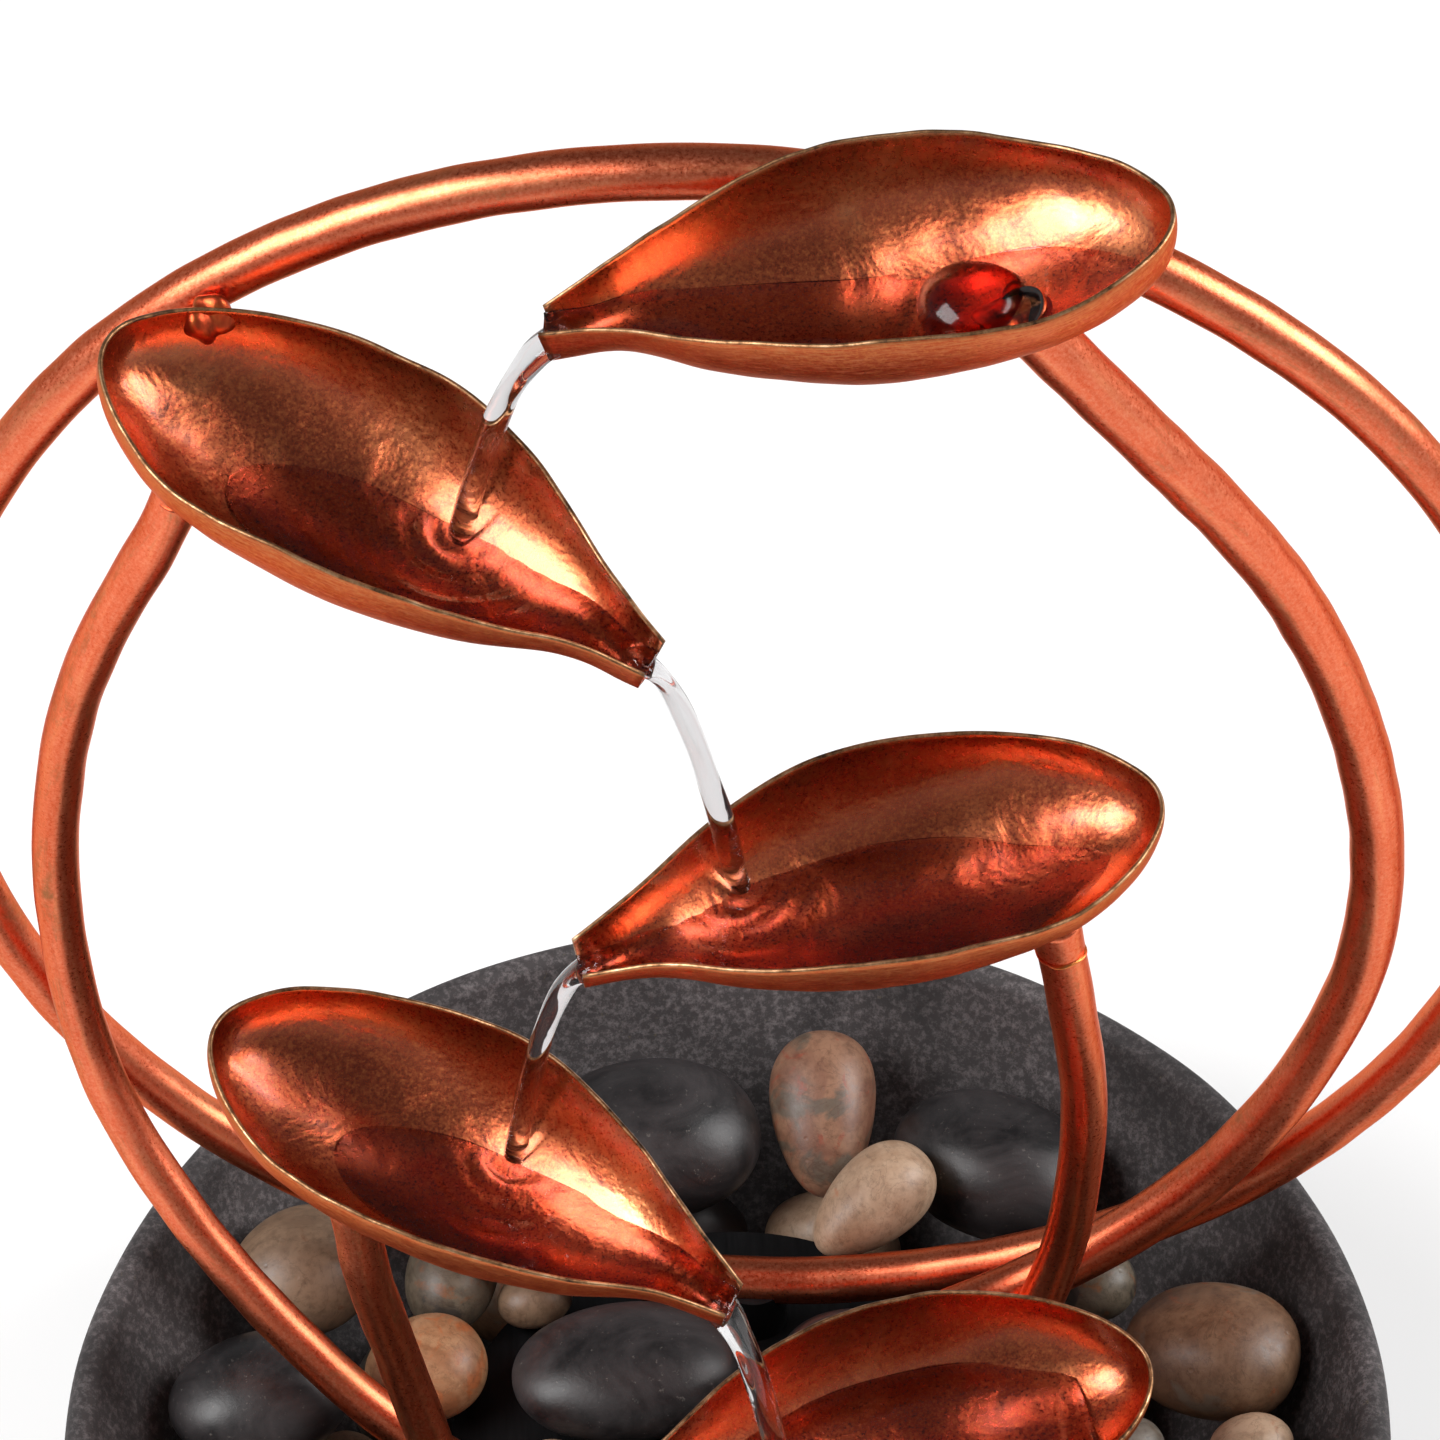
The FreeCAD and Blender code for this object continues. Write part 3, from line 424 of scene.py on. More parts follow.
def solder_metal():
    """Brazed lumps: copper with flame-orange spots and burnt hollows."""
    paint = Paint("solder_brazed")
    clouds = paint.noise(190, 4, 0.6, 0.8)
    colour = paint.ramp(clouds, (0.32, (0.1, 0.028, 0.013)), (0.5, COPPER_RED),
                        (0.64, (0.72, 0.22, 0.055)), (0.82, (0.85, 0.48, 0.22)))
    normal = paint.bump(paint.noise(300, 4, 0.6), 0.4, 0.5 * MM)
    return paint.done(Base_Color=colour, Roughness=paint.ramp(clouds, (0.3, 0.5), (0.7, 0.28)),
                      Metallic=1.0, Normal=normal)


# ---- stone, pebbles and water

def bowl_stone():
    """Cast stone-effect resin: charcoal, finely pitted, with a dusting of pale grey specks."""
    paint = Paint("bowl_stone")
    dust = paint.noise(640, 7, 0.8)
    patches = paint.noise(24, 4, 0.6, 0.7)
    colour = paint.ramp(patches, (0.32, (0.018, 0.016, 0.0165)), (0.66, (0.06, 0.052, 0.053)))
    dusty = paint.times(paint.ramp(dust, (0.47, 0.0), (0.64, 1.0)),
                        paint.ramp(patches, (0.34, 0.3), (0.6, 1.0)))
    colour = paint.mix(dusty, colour, (0.175, 0.155, 0.157))
    colour = paint.specked(colour, (0.13, 0.105, 0.055), (700, 4, 0.7), 0.66, 0.72, 0.45)
    pits = paint.ramp(paint.cells(360), (0.06, 0.0), (0.2, 1.0))
    height = paint.mix(0.5, pits, dust)
    normal = paint.bump(height, 0.45, 0.35 * MM)
    normal = paint.bump(paint.noise(60, 4, 0.6), 0.25, 1.0 * MM, normal)
    return paint.done(Base_Color=colour, Roughness=paint.ramp(dust, (0.3, 0.62), (0.7, 0.84)),
                      Normal=normal, Specular_IOR_Level=0.4)


def pebble_black():
    paint = Paint("pebble_black")
    clouds = paint.noise(48, 6, 0.68, 0.9)
    grain = paint.noise(420, 5, 0.75)
    colour = paint.ramp(clouds, (0.36, (0.008, 0.0072, 0.0078)), (0.66, (0.042, 0.036, 0.037)))
    colour = paint.specked(colour, (0.2, 0.18, 0.16), (650, 4, 0.8), 0.62, 0.72, 0.5)
    normal = paint.bump(grain, 0.22, 0.3 * MM)
    return paint.done(Base_Color=colour, Roughness=paint.ramp(clouds, (0.3, 0.3), (0.7, 0.52)),
                      Normal=normal, Specular_IOR_Level=0.42)


def pebble_coloured(name, base, second, stain, stain_share, grey=None):
    """A river pebble: two body colours, stains, veins, pits, and a grey patch if given."""
    paint = Paint(name)
    clouds = paint.noise(70, 7, 0.66, 1.4)
    fine = paint.noise(520, 6, 0.75)
    colour = paint.ramp(clouds, (0.36, base), (0.6, second))
    stains = paint.ramp(paint.noise(95, 6, 0.65, 1.8),
                        (0.66 - stain_share, 0.0), (0.74 - stain_share, 0.8))
    colour = paint.mix(stains, colour, stain)
    if grey:
        patch = paint.ramp(paint.noise(60, 5, 0.6, 0.9), (0.57, 0.0), (0.62, 0.8))
        colour = paint.mix(patch, colour, grey)
    veins = paint.ramp(paint.noise(60, 5, 0.6, 2.6), (0.485, 0.0), (0.5, 0.45), (0.515, 0.0))
    colour = paint.mix(veins, colour, tuple(0.45 * part for part in base))
    colour = paint.mix(paint.ramp(fine, (0.34, 0.45), (0.52, 0.0)), colour,
                       tuple(0.4 * part for part in base))
    pits = paint.ramp(paint.cells(230), (0.03, 0.0), (0.12, 1.0))
    normal = paint.bump(paint.mix(0.5, pits, fine), 0.35, 0.35 * MM)
    return paint.done(Base_Color=colour, Roughness=paint.ramp(fine, (0.3, 0.34), (0.7, 0.54)),
                      Normal=normal)


def water(name, tint, size, rough=0.0):
    """Clear water with faint ripples; its tint is painted shade."""
    paint = Paint(name)
    ripples = paint.bump(paint.noise(size, 2, 0.4, 0.8), 0.12, 0.6 * MM)
    return paint.done(Base_Color=tint, Roughness=rough, IOR=1.333,
                      Transmission_Weight=1.0, Normal=ripples)


# ---- the rest of the hardware

def moulded(name, colour, rough, grain=500.0):
    """Moulded plastic or rubber with a fine spark texture and faint unevenness."""
    paint = Paint(name)
    fine = paint.noise(grain, 4, 0.6)
    clouds = paint.noise(40, 3, 0.5)
    darker = tuple(0.7 * part for part in colour)
    shade = paint.ramp(clouds, (0.3, darker), (0.7, colour))
    return paint.done(Base_Color=shade, Normal=paint.bump(fine, 0.25, 0.15 * MM),
                      Roughness=paint.ramp(fine, (0.3, rough - 0.06), (0.7, rough + 0.08)))


def plain_metal(name, colour, rough):
    paint = Paint(name)
    drawn = paint.add("Mapping", {"Vector": paint.place, "Scale": (14, 1, 1)}).outputs[0]
    lines = paint.noise(90, 5, 0.7, 0.0, drawn)
    darker = tuple(0.72 * part for part in colour)
    shade = paint.ramp(lines, (0.3, darker), (0.7, colour))
    return paint.done(Base_Color=shade, Metallic=1.0, Normal=paint.bump(lines, 0.1, 0.1 * MM),
                      Roughness=paint.ramp(lines, (0.3, rough), (0.7, rough + 0.12)))


def hose_plastic():
    paint = Paint("hose_clear_vinyl")
    bands = paint.noise(120, 3, 0.5)
    return paint.done(Base_Color=(0.86, 0.9, 0.92), Transmission_Weight=0.75, IOR=1.5,
                      Roughness=paint.ramp(bands, (0.3, 0.12), (0.7, 0.25)))


LEAF_MATERIALS = [copper_inside(), copper_outside(), copper_edge()]
TUBE_MATERIALS = {
    "ring_tube": copper_tube("ring_copper", 0.02, 0.3),
    "feed_tube": copper_tube("feed_copper", 0.0, 1.7),
    "left_support_tube": copper_tube("left_support_copper", 0.02, 2.9),
    "leaf_3_stem": copper_tube("stem_3_copper", -0.02, 4.1),
    "leaf_4_stem": copper_tube("stem_4_copper", 0.06, 5.3),
    "leaf_5_stem": copper_tube("stem_5_copper", 0.0, 6.7)}
SOLDER = solder_metal()
# Painted shadow: near-black matte for the inside of the feed tube's open mouth.
BORE_PAINTED_SHADOW = moulded("bore_painted_shadow", (0.006, 0.005, 0.005), 0.85)
STONE = bowl_stone()
# Painted shade in the water tints: dark red-brown in the leaves' pools, pale grey in the falling
# streams, red in the well over the feed tube.
POOL_WATER = water("pool_water", (0.66, 0.39, 0.36), 70)
STREAM_WATER = water("stream_water", (0.68, 0.67, 0.675), 110)
WELL_WATER = water("well_water", (0.74, 0.1, 0.07), 90, 0.12)

# Each coloured stone: two body colours, its stain, how much is stained, and its grey patch.
PEBBLE_COLOURS = {
    "egg": ((0.17, 0.072, 0.043), (0.27, 0.14, 0.084), (0.27, 0.058, 0.03), 0.08,
            (0.09, 0.08, 0.06)),
    "cream": ((0.36, 0.22, 0.135), (0.49, 0.34, 0.23), (0.42, 0.16, 0.075), 0.0),
    "tan": ((0.125, 0.06, 0.031), (0.205, 0.112, 0.062), (0.25, 0.066, 0.024), 0.05,
            (0.15, 0.113, 0.083)),
    "brown": ((0.145, 0.086, 0.052), (0.225, 0.142, 0.088), (0.15, 0.065, 0.032), 0.06),
    "orange": ((0.27, 0.115, 0.05), (0.4, 0.215, 0.11), (0.38, 0.105, 0.03), 0.12),
    "mottled": ((0.07, 0.052, 0.036), (0.15, 0.118, 0.082), (0.21, 0.075, 0.025), 0.1,
                (0.028, 0.027, 0.026)),
    "grey": ((0.115, 0.098, 0.078), (0.2, 0.175, 0.145), (0.12, 0.07, 0.04), 0.05)}
PEBBLE_MATERIALS = {"black": pebble_black()} | {
    kind: pebble_coloured(f"pebble_{kind}_stone", *colours)
    for kind, colours in PEBBLE_COLOURS.items()}


# ---- leaf cups

LEAF_LENGTH = 100.0
LEAF_WALL = 0.8
# Along a leaf from its closed end to its lip: half width, depth below the edge, edge's rise.
LEAF_SECTIONS = np.array([
    (0.00, 0.0, 0.0, 0.0), (0.03, 7.8, 7.9, 0.2), (0.10, 14.4, 12.0, 0.7),
    (0.22, 20.2, 15.5, 1.6), (0.38, 22.4, 20.5, 4.5), (0.56, 21.1, 21.5, 6.3),
    (0.74, 15.2, 15.5, 5.0), (0.88, 8.0, 9.0, 3.0), (1.00, 3.8, 7.5, 0.0)])
# Against the square root of the place, the closed end comes out round like a spoon's.
LEAF_TABLE = np.column_stack([np.sqrt(LEAF_SECTIONS[:, 0]), LEAF_SECTIONS[:, 1:]])
# Each leaf: its lip, the way it points in plan, its tip towards the lip and its lean (degrees).
LEAF_PLACES = {
    "leaf_1": ((-19.2, 19.0, 320.0), 174.5, 13.5, -3.2),
    "leaf_2": ((-4.5, -8.0, 271.8), -26.0, 22.0, 3.0),
    "leaf_3": ((-20.1, -15.0, 210.1), 190.6, 6.7, -6.0),
    "leaf_4": ((2.8, -39.4, 148.7), -26.5, 17.0, 3.0),
    "leaf_5": ((-21.8, -40.7, 94.3), 192.0, 3.0, -8.0)}
LEAF_STEPS = 130
LEAF_CROWDING = 1.8  # above 1, the steps crowd towards the closed end
LEAF_AROUND = 56
NOSE = 0.03  # unevenness fades in over this part of the length, from the closed end
FAR = 9.0  # the share of the outline that stands for a point off to one side of the leaf
# The spacing and size of the waves in the wall, and in the height of the edge.
WALL_WAVES = ((24.0, 0.24), (9.0, 0.05))
EDGE_WAVES = ((34.0, 0.55), (9.0, 0.13))
EDGE_CROWN = 0.42  # how far the cut edge's middle stands up, in walls


def leaf_matrix(name):
    lip, yaw, tip, lean = LEAF_PLACES[name]
    turn = (Matrix.Rotation(math.radians(yaw), 3, "Z") @ Matrix.Rotation(math.radians(tip), 3, "Y")
            @ Matrix.Rotation(math.radians(lean), 3, "X"))
    return np.array(turn), np.array(lip)


def leaf_to_world(name, local):
    turn, lip = leaf_matrix(name)
    return (local @ turn.T + lip) * MM


def world_to_leaf(name, points):
    """Millimetre points in the leaf's own directions."""
    turn, lip = leaf_matrix(name)
    return (points - lip) @ turn


def wall_of_leaf(name, points):
    """For points in millimetres: the leaf's own coordinates, how far each point is from the
    section's middle as a share of the outline, and the share at the middle of the wall there."""
    local = world_to_leaf(name, points)
    part = 1 + local[:, 0] / LEAF_LENGTH
    half, depth, rise = leaf_shape(np.clip(part, 0.001, 1))
    share = np.hypot(local[:, 1] / half, (local[:, 2] - rise) / depth)
    reach = np.hypot(local[:, 1], local[:, 2] - rise) / np.maximum(share, 0.01)
    side = np.clip(local[:, 1] / half / np.maximum(share, 0.01), -1, 1)
    dents = leaf_dents(name, local, side, part)
    over = (part > 0) & (part < 1) & (local[:, 2] < rise)
    return local, rise, np.where(over, share, FAR), 1 + (dents - LEAF_WALL / 2) / reach


def meet_leaf(name, points, inside):
    """Moves the points on the wrong side of the cup's wall onto its middle: the points past it
    when they belong inside, or else the points inside it."""
    local, rise, share, skin = wall_of_leaf(name, points)
    wrong = (share > skin) & (share < FAR) if inside else share < skin
    scale = np.where(wrong, skin / np.maximum(share, 0.2), 1.0)
    local[:, 1] *= scale
    local[:, 2] = rise + (local[:, 2] - rise) * scale
    return leaf_to_world(name, local) / MM


def leaf_shape(part, inset=0.0):
    """Half width, depth and rise at each place along the leaf, with the wall taken off."""
    half, depth, rise = smooth_table(LEAF_TABLE, np.sqrt(part)).T
    return half - inset, depth - inset, rise


def leaf_dents(name, spots, side, part):
    """How far the hammering pushes the leaf's wall out at each place."""
    seed = 20 + list(LEAF_PLACES).index(name)
    deep, small = (waves(spots.reshape(-1, 3), spacing, seed + 30 * number) * size
                   for number, (spacing, size) in enumerate(WALL_WAVES))
    return (deep + small).reshape(side.shape) * (1 - side ** 4) * np.minimum(1, part / NOSE)


def make_leaf(name, seed):
    """One cup: its outer skin, its edge and its inner skin are one closed mesh."""
    part = np.linspace(0, 1, LEAF_STEPS) ** LEAF_CROWDING
    half, depth, rise = leaf_shape(part)
    x = LEAF_LENGTH * (part - 1)
    fade = np.minimum(1, part / NOSE)
    swing = np.linspace(-math.pi / 2, math.pi / 2, LEAF_AROUND)
    side, down = np.sin(swing), np.cos(swing)
    y = half[:, None] * side
    z = rise[:, None] - depth[:, None] * down
    spots = np.stack([x, 0 * x, 0 * x], 1)
    right, left = (sum(waves(spots, spacing, seed + shift) * size for spacing, size in EDGE_WAVES)
                   for shift in (0, 50))
    z = z + (np.abs(side) ** 6 * fade[:, None]) * np.where(side > 0, right[:, None], left[:, None])
    outer = np.stack([np.broadcast_to(x[:, None], y.shape), y, z], -1)
    normal = unit(np.cross(np.gradient(outer, axis=0), np.gradient(outer, axis=1)))
    centre = np.stack([x, 0 * x, rise], 1)[:, None, :]
    normal = normal * np.sign(((outer - centre) * normal).sum(-1, keepdims=True) + 1e-9)
    normal[0] = (-1, 0, 0)
    dents = leaf_dents(name, outer, np.broadcast_to(side, y.shape), part[:, None])
    outer = outer + normal * dents[..., None]
    inner = outer - normal * LEAF_WALL
    lift = [0, 0, EDGE_CROWN * LEAF_WALL]
    right_edge = (outer[:, -1] + inner[:, -1]) / 2 + lift
    left_edge = (outer[:, 0] + inner[:, 0]) / 2 + lift
    loop = np.concatenate([outer, right_edge[:, None], inner[:, ::-1], left_edge[:, None]], axis=1)
    rows, cols = y.shape
    around = loop.shape[1]
    faces = strip_faces(rows, around)
    kind_of_column = [1] * (cols - 1) + [2] * 2 + [0] * (cols - 1) + [2] * 2
    kinds = kind_of_column * (rows - 1)
    lip = (rows - 1) * around
    for j in range(cols - 1):
        faces.append((lip + j, lip + j + 1, lip + 2 * cols - j - 1, lip + 2 * cols - j))
    faces.append((lip + cols - 1, lip + cols, lip + cols + 1))
    faces.append((lip, lip + 2 * cols, lip + 2 * cols + 1))
    kinds += [2] * (cols + 1)
    points = leaf_to_world(name, loop.reshape(-1, 3))
    piece = new_piece(name + "_cup", points, faces, LEAF_MATERIALS, kinds)
    edge = np.concatenate([1 - down, [1.0], 1 - down[::-1], [1.0]])
    point_values(piece, "edge", np.tile(edge, rows))
    point_values(piece, "along", np.repeat(x * MM, around))
    outward(piece)
    finish_piece(piece, "copper_leaf", name)


# ---- tubes

# Each tube's route, the radius of the tube and the leaf that it is joined under, if any.
TUBES = {
    "feed_tube": ([
        (53.8, 9.6, 325.2), (57, 10, 320.4), (64.2, 11.2, 309.5), (74, 12.5, 295), (95, 16, 263),
        (107.5, 20, 233), (116, 23, 200), (118.5, 25, 168), (114.8, 27, 138.5),
        (101, 27.5, 105), (80, 26.6, 80.2), (53, 25.5, 62.8), (26, 14, 64), (8, 4, 67),
        (8, 4, 48)], 4.75, None),
    "left_support_tube": ([
        (-75, 22, 294), (-80, 22, 280), (-95, 28, 249), (-103.5, 34, 223), (-109, 39.5, 196),
        (-112.3, 43, 171), (-112.5, 44, 137), (-107, 39, 111), (-93.5, 27.5, 89),
        (-78.5, 19, 69), (-63, 11, 54), (-50, 6, 45), (-42, 4.4, 40.6)], 4.1, "leaf_2"),
    "leaf_3_stem": ([
        (59.1, -8.5, 206), (62.3, -5, 180), (66.2, 5, 143.6), (65.3, 13, 102), (61.5, 14.5, 81),
        (54, 15, 57), (46.6, 15, 40.6)], 4.1, "leaf_3"),
    "leaf_4_stem": ([
        (-62.3, -15, 163), (-61.5, -12.5, 130), (-59, -6, 103), (-56, -4, 80),
        (-51.5, -7, 57), (-45.4, -9.2, 40.6)], 4.1, "leaf_4"),
    "leaf_5_stem": ([(31, -29, 90), (30, -27, 68), (24, -20, 51), (19.8, -15.2, 40.6)], 4.1,
                    "leaf_5")}
RING_CENTRE = (7.0, 41.0, 190.6)
RING_RADIUS = 139.0
RING_TUBE_RADIUS = 4.5
RING_YAW = math.radians(-6.0)
RING_STEPS = 520
TUBE_STEP = 1.4


def make_tubes():
    for seed, (name, (route, radius, leaf)) in enumerate(TUBES.items(), start=21):
        line = nurbs_points(route, TUBE_STEP * MM)
        piece = tube_piece(name + "_skin", line, radius * MM, TUBE_MATERIALS[name], seed,
                           leaf=leaf, mouth_shadow=None if leaf else BORE_PAINTED_SHADOW)
        finish_piece(piece, "copper_tube", name)
    turn = circle(RING_STEPS)
    flat = RING_RADIUS * np.stack([np.cos(turn) * math.cos(RING_YAW),
                                   np.cos(turn) * math.sin(RING_YAW), np.sin(turn)], 1)
    line = (RING_CENTRE + flat) * MM
    piece = tube_piece("ring_tube_skin", line, RING_TUBE_RADIUS * MM,
                       TUBE_MATERIALS["ring_tube"], 31, closed=True)
    finish_piece(piece, "copper_tube", "ring_tube")


# ---- solder

UNDER_LEAF = (4.35, 4.35, 0.9)
# Each bead: its centre, half sizes and the leaf that it sits under or beside.
SOLDER_LUMPS = {
    "solder_ring_leaf_1": ((30, 37.5, 328), (4.4, 4.2, 3.6), "leaf_1"),
    "solder_ring_leaf_2": ((-72.6, 42.4, 302.8), (4.4, 3.2, 3.8), None),
    "solder_leaf_2_support": ((-78.3, 22, 284.6), UNDER_LEAF, "leaf_2"),
    "solder_leaf_3_stem": ((60.0, -7.6, 197.2), UNDER_LEAF, "leaf_3"),
    "solder_leaf_4_stem": ((-62.2, -14.8, 153.6), UNDER_LEAF, "leaf_4"),
    "solder_leaf_5_stem": ((31, -29, 79), UNDER_LEAF, "leaf_5"),
    "solder_feed_inlet": ((54.4, 9.9, 322.8), (6.0, 6.0, 1.9), None)}


def lumpy_ball(centre, half_sizes, seed, roughness, spacing, power=1.0, egg=0.0):
    """Points and faces of a rounded lump around centre; egg makes its +X end blunter."""
    work = bmesh.new()
    bmesh.ops.create_icosphere(work, subdivisions=5, radius=1.0)
    points = np.array([v.co for v in work.verts], float)
    faces = [tuple(v.index for v in face.verts) for face in work.faces]
    work.free()
    swell = 1 + roughness * waves(points, spacing, seed)
    shaped = np.sign(points) * np.abs(points) ** power * swell[:, None]
    shaped[:, 1:] *= (1 + egg * points[:, 0])[:, None]
    return shaped * half_sizes + centre, faces


def make_solder():
    for seed, (name, (centre, half_sizes, leaf)) in enumerate(SOLDER_LUMPS.items(), start=61):
        uneven = 0.05 if leaf else 0.2
        points, faces = lumpy_ball(centre, half_sizes, seed, uneven, 1.1)
        if leaf:
            points = meet_leaf(leaf, points, False)
        piece = new_piece(name + "_bead", points * MM, faces, [SOLDER])
        finish_piece(piece, "solder", name)


# ---- bowl

BOWL_FOOT_RADIUS = 80.0
BOWL_BASE = 5.0  # thickness of the bottom
BOWL_BEAD = 3.0  # radius of the rounded rim
RIM_START = (0.866, 0.5)  # where the inner wall meets the rim's bead, as shares of its radius
# How far a point half way up each wall is inside the bowl's radius and above the wall's foot.
OUTER_BELLY = (13, 23)
INNER_BELLY = (19.5, 29)
BOWL_RIPPLE, BOWL_RIPPLE_SPACING = 0.1, 30
BOWL_AROUND = 260


def arc_points(start, middle, finish, count):
    """Points of the arc from start through middle to finish, without its last point."""
    a, b, c = (complex(*spot) for spot in (start, middle, finish))
    centre = ((abs(a) ** 2 * (b - c) + abs(b) ** 2 * (c - a) + abs(c) ** 2 * (a - b))
              / (a.conjugate() * (b - c) + b.conjugate() * (c - a) + c.conjugate() * (a - b)))
    half_way, turn = (cmath.phase((spot - centre) / (a - centre)) % (2 * math.pi)
                      for spot in (b, c))
    if half_way > turn:
        turn -= 2 * math.pi
    spots = [centre + (a - centre) * cmath.exp(1j * turn * i / count) for i in range(count)]
    return [(spot.real, spot.imag) for spot in spots]


def turned_piece(name, outline):
    """A shape turned about Z from rows of radius and height, the first and last on the axis."""
    angles = circle(BOWL_AROUND)
    radius, height = outline[1:-1, 0], outline[1:-1, 1]
    points = np.stack([radius[:, None] * np.cos(angles), radius[:, None] * np.sin(angles),
                       np.broadcast_to(height[:, None], (len(radius), BOWL_AROUND))], -1)
    flat = points.reshape(-1, 3)
    uneven = waves(flat, BOWL_RIPPLE_SPACING * MM, 5) * (BOWL_RIPPLE * MM)
    flat = flat + unit(flat * [1, 1, 0]) * uneven[:, None]
    faces = strip_faces(len(radius), BOWL_AROUND)
    first, last = len(flat), len(flat) + 1
    flat = np.concatenate([flat, [[0, 0, outline[0, 1]], [0, 0, outline[-1, 1]]]])
    end = (len(radius) - 1) * BOWL_AROUND
    for j in range(BOWL_AROUND):
        k = (j + 1) % BOWL_AROUND
        faces.append((first, j, k))
        faces.append((last, end + k, end + j))
    return outward(new_piece(name, flat, faces, [STONE]))


def make_bowl():
    low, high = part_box("bowl")
    radius, top, under = high.x / MM, high.z / MM, low.z / MM
    floor = under + BOWL_BASE
    foot_out, foot_in = (BOWL_FOOT_RADIUS, under), (BOWL_FOOT_RADIUS, floor)
    bead_middle = radius - BOWL_BEAD
    rim_out = (radius, top - BOWL_BEAD)
    rim_in = (bead_middle - BOWL_BEAD * RIM_START[0], top - BOWL_BEAD * RIM_START[1])
    outer_belly = (radius - OUTER_BELLY[0], under + OUTER_BELLY[1])
    inner_belly = (radius - INNER_BELLY[0], floor + INNER_BELLY[1])
    outline = np.concatenate([np.linspace((0, under), foot_out, 6, endpoint=False),
                              arc_points(foot_out, outer_belly, rim_out, 40),
                              arc_points(rim_out, (bead_middle, top), rim_in, 14),
                              arc_points(rim_in, inner_belly, foot_in, 46),
                              np.linspace(foot_in, (0, floor), 7)])
    piece = turned_piece("bowl_cast", outline * MM)
    finish_piece(piece, "bowl_stone", "bowl", BOWL_BODY)


# ---- pebbles

# Each pebble: material, centre, half sizes, turn in plan (degrees), and where they differ from
# EGG_SHAPE and none, egg shape and tilt (degrees).
EGG_SHAPE = 0.05
PEBBLES = {
    "pebbles_black_deck": [
        ("black", (-18, 22.5, 49.7), (22, 15, 9), 5, 0.03),
        ("black", (24, 24, 49), (13, 9, 8.2), 0)],
    "pebbles_small_deck": [
        ("brown", (-35, 44, 46), (7.5, 6, 5.3), 20),
        ("cream", (-32, 4.5, 45.5), (6, 5, 4.8), -30),
        ("tan", (-12, 1, 45.8), (6.5, 5, 5), 15)],
    "pebbles_front_deck": [
        ("grey", (-26, -16, 47.5), (12, 8, 7), 25, 0.08),
        ("black", (-3, -21, 47.5), (11, 8, 7), -20),
        ("tan", (6, -36, 47), (10, 5.5, 6.5), 5),
        ("black", (37, -7, 47.5), (11, 9, 7), 40)],
    "pebble_cream": [("cream", (30.5, 56.5, 54), (14.2, 8.6, 8.2), 38, 0.24, 12)],
    "pebble_orange": [("orange", (-55.5, 25.5, 49.8), (12, 10.5, 9), 20, 0.04)],
    "pebble_egg": [("egg", (22.5, 83.5, 48.5), (17.2, 10.2, 9.4), 88, 0.26, 22)],
    "pebbles_black_rim": [
        ("black", (-12.5, 79, 49), (23, 17.5, 13), 4, 0.04),
        ("black", (55, 70, 46.5), (21, 15, 12.5), -32, 0.04),
        ("black", (-87, 22, 48.8), (17.5, 13.5, 10), 12, 0.04),
        ("black", (-75, -42, 46), (20, 13, 11), -60, 0.04),
        ("black", (7, -85, 46), (18, 12.5, 11), 4, 0.04),
        ("black", (86, -27, 46), (19, 12, 10), 72, 0.04)],
    "pebble_brown": [("brown", (-79, 51, 49), (14.5, 13, 11), 40, 0.04)],
    "pebble_mottled": [("mottled", (-50.5, 48, 49), (12, 9, 9), 75, 0.06)],
    "pebbles_tan": [
        ("tan", (92, 17.5, 52.5), (17, 14, 11), -15, 0.08),
        ("tan", (-87, -9, 46), (14, 10, 10), 80, 0.08),
        ("egg", (-26, -80, 46), (13.5, 12, 10), -12),
        ("tan", (68, -58, 46), (15, 12, 10), -48)],
    "pebble_dark_mottled": [("mottled", (72.5, 39, 47), (7.5, 7, 6.5), 30, 0)],
    "pebbles_small_rim": [
        ("cream", (97, -4, 51), (8, 6.5, 6), 10),
        ("grey", (74, 0, 46), (8, 7, 6.5), 0),
        ("grey", (-59, -21, 45), (9, 8, 7.5), 30),
        ("orange", (60, -18, 45), (9, 8, 7.5), -30),
        ("grey", (-46, 76, 47), (8, 7.5, 7), 20)],
    "pebbles_cream_front": [
        ("cream", (-52.5, -68, 46), (14, 10.5, 10), -40, 0.08),
        ("brown", (41, -78, 46), (13, 11, 10), 22),
        ("orange", (-27, -55, 45), (12, 9, 9), 20),
        ("mottled", (30, -53, 45), (13, 9, 9), -20)]}
# The slots of the kinds that have no slot of their own.
SHARED_SLOTS = {"egg": "pink", "brown": "tan", "grey": "mottled"}
# The hidden layer: a ring of like stones about a centre (x, y, z).
LOWER_COUNT = 15
LOWER_CIRCLE = 75.0
LOWER_CENTRE = (0.0, 1.0, 20.5)
LOWER_HALF_SIZES = (9.5, 14.0, 12.5)
LOWER_KINDS = ("black", "tan", "grey", "cream")
PEBBLE_ROUGHNESS, PEBBLE_SPACING = 0.018, 1.5
PEBBLE_POWER = 0.96  # below 1, a pebble is a little squarer than an egg
PEBBLE_GAP = 0.985  # drawn this much smaller, so that neighbours don't merge


def make_pebble(name, node, body, seed, kind, centre, half_sizes, turn, egg=EGG_SHAPE, tilt=0):
    points, faces = lumpy_ball((0, 0, 0), half_sizes, seed, PEBBLE_ROUGHNESS, PEBBLE_SPACING,
                               PEBBLE_POWER, egg)
    spin = np.array(Matrix.Rotation(math.radians(turn), 3, "Z")
                    @ Matrix.Rotation(math.radians(-tilt), 3, "Y"))
    points = points @ spin.T * PEBBLE_GAP + centre
    piece = new_piece(name, points * MM, faces, [PEBBLE_MATERIALS[kind]])
    finish_piece(piece, "pebble_" + SHARED_SLOTS.get(kind, kind), node, body)


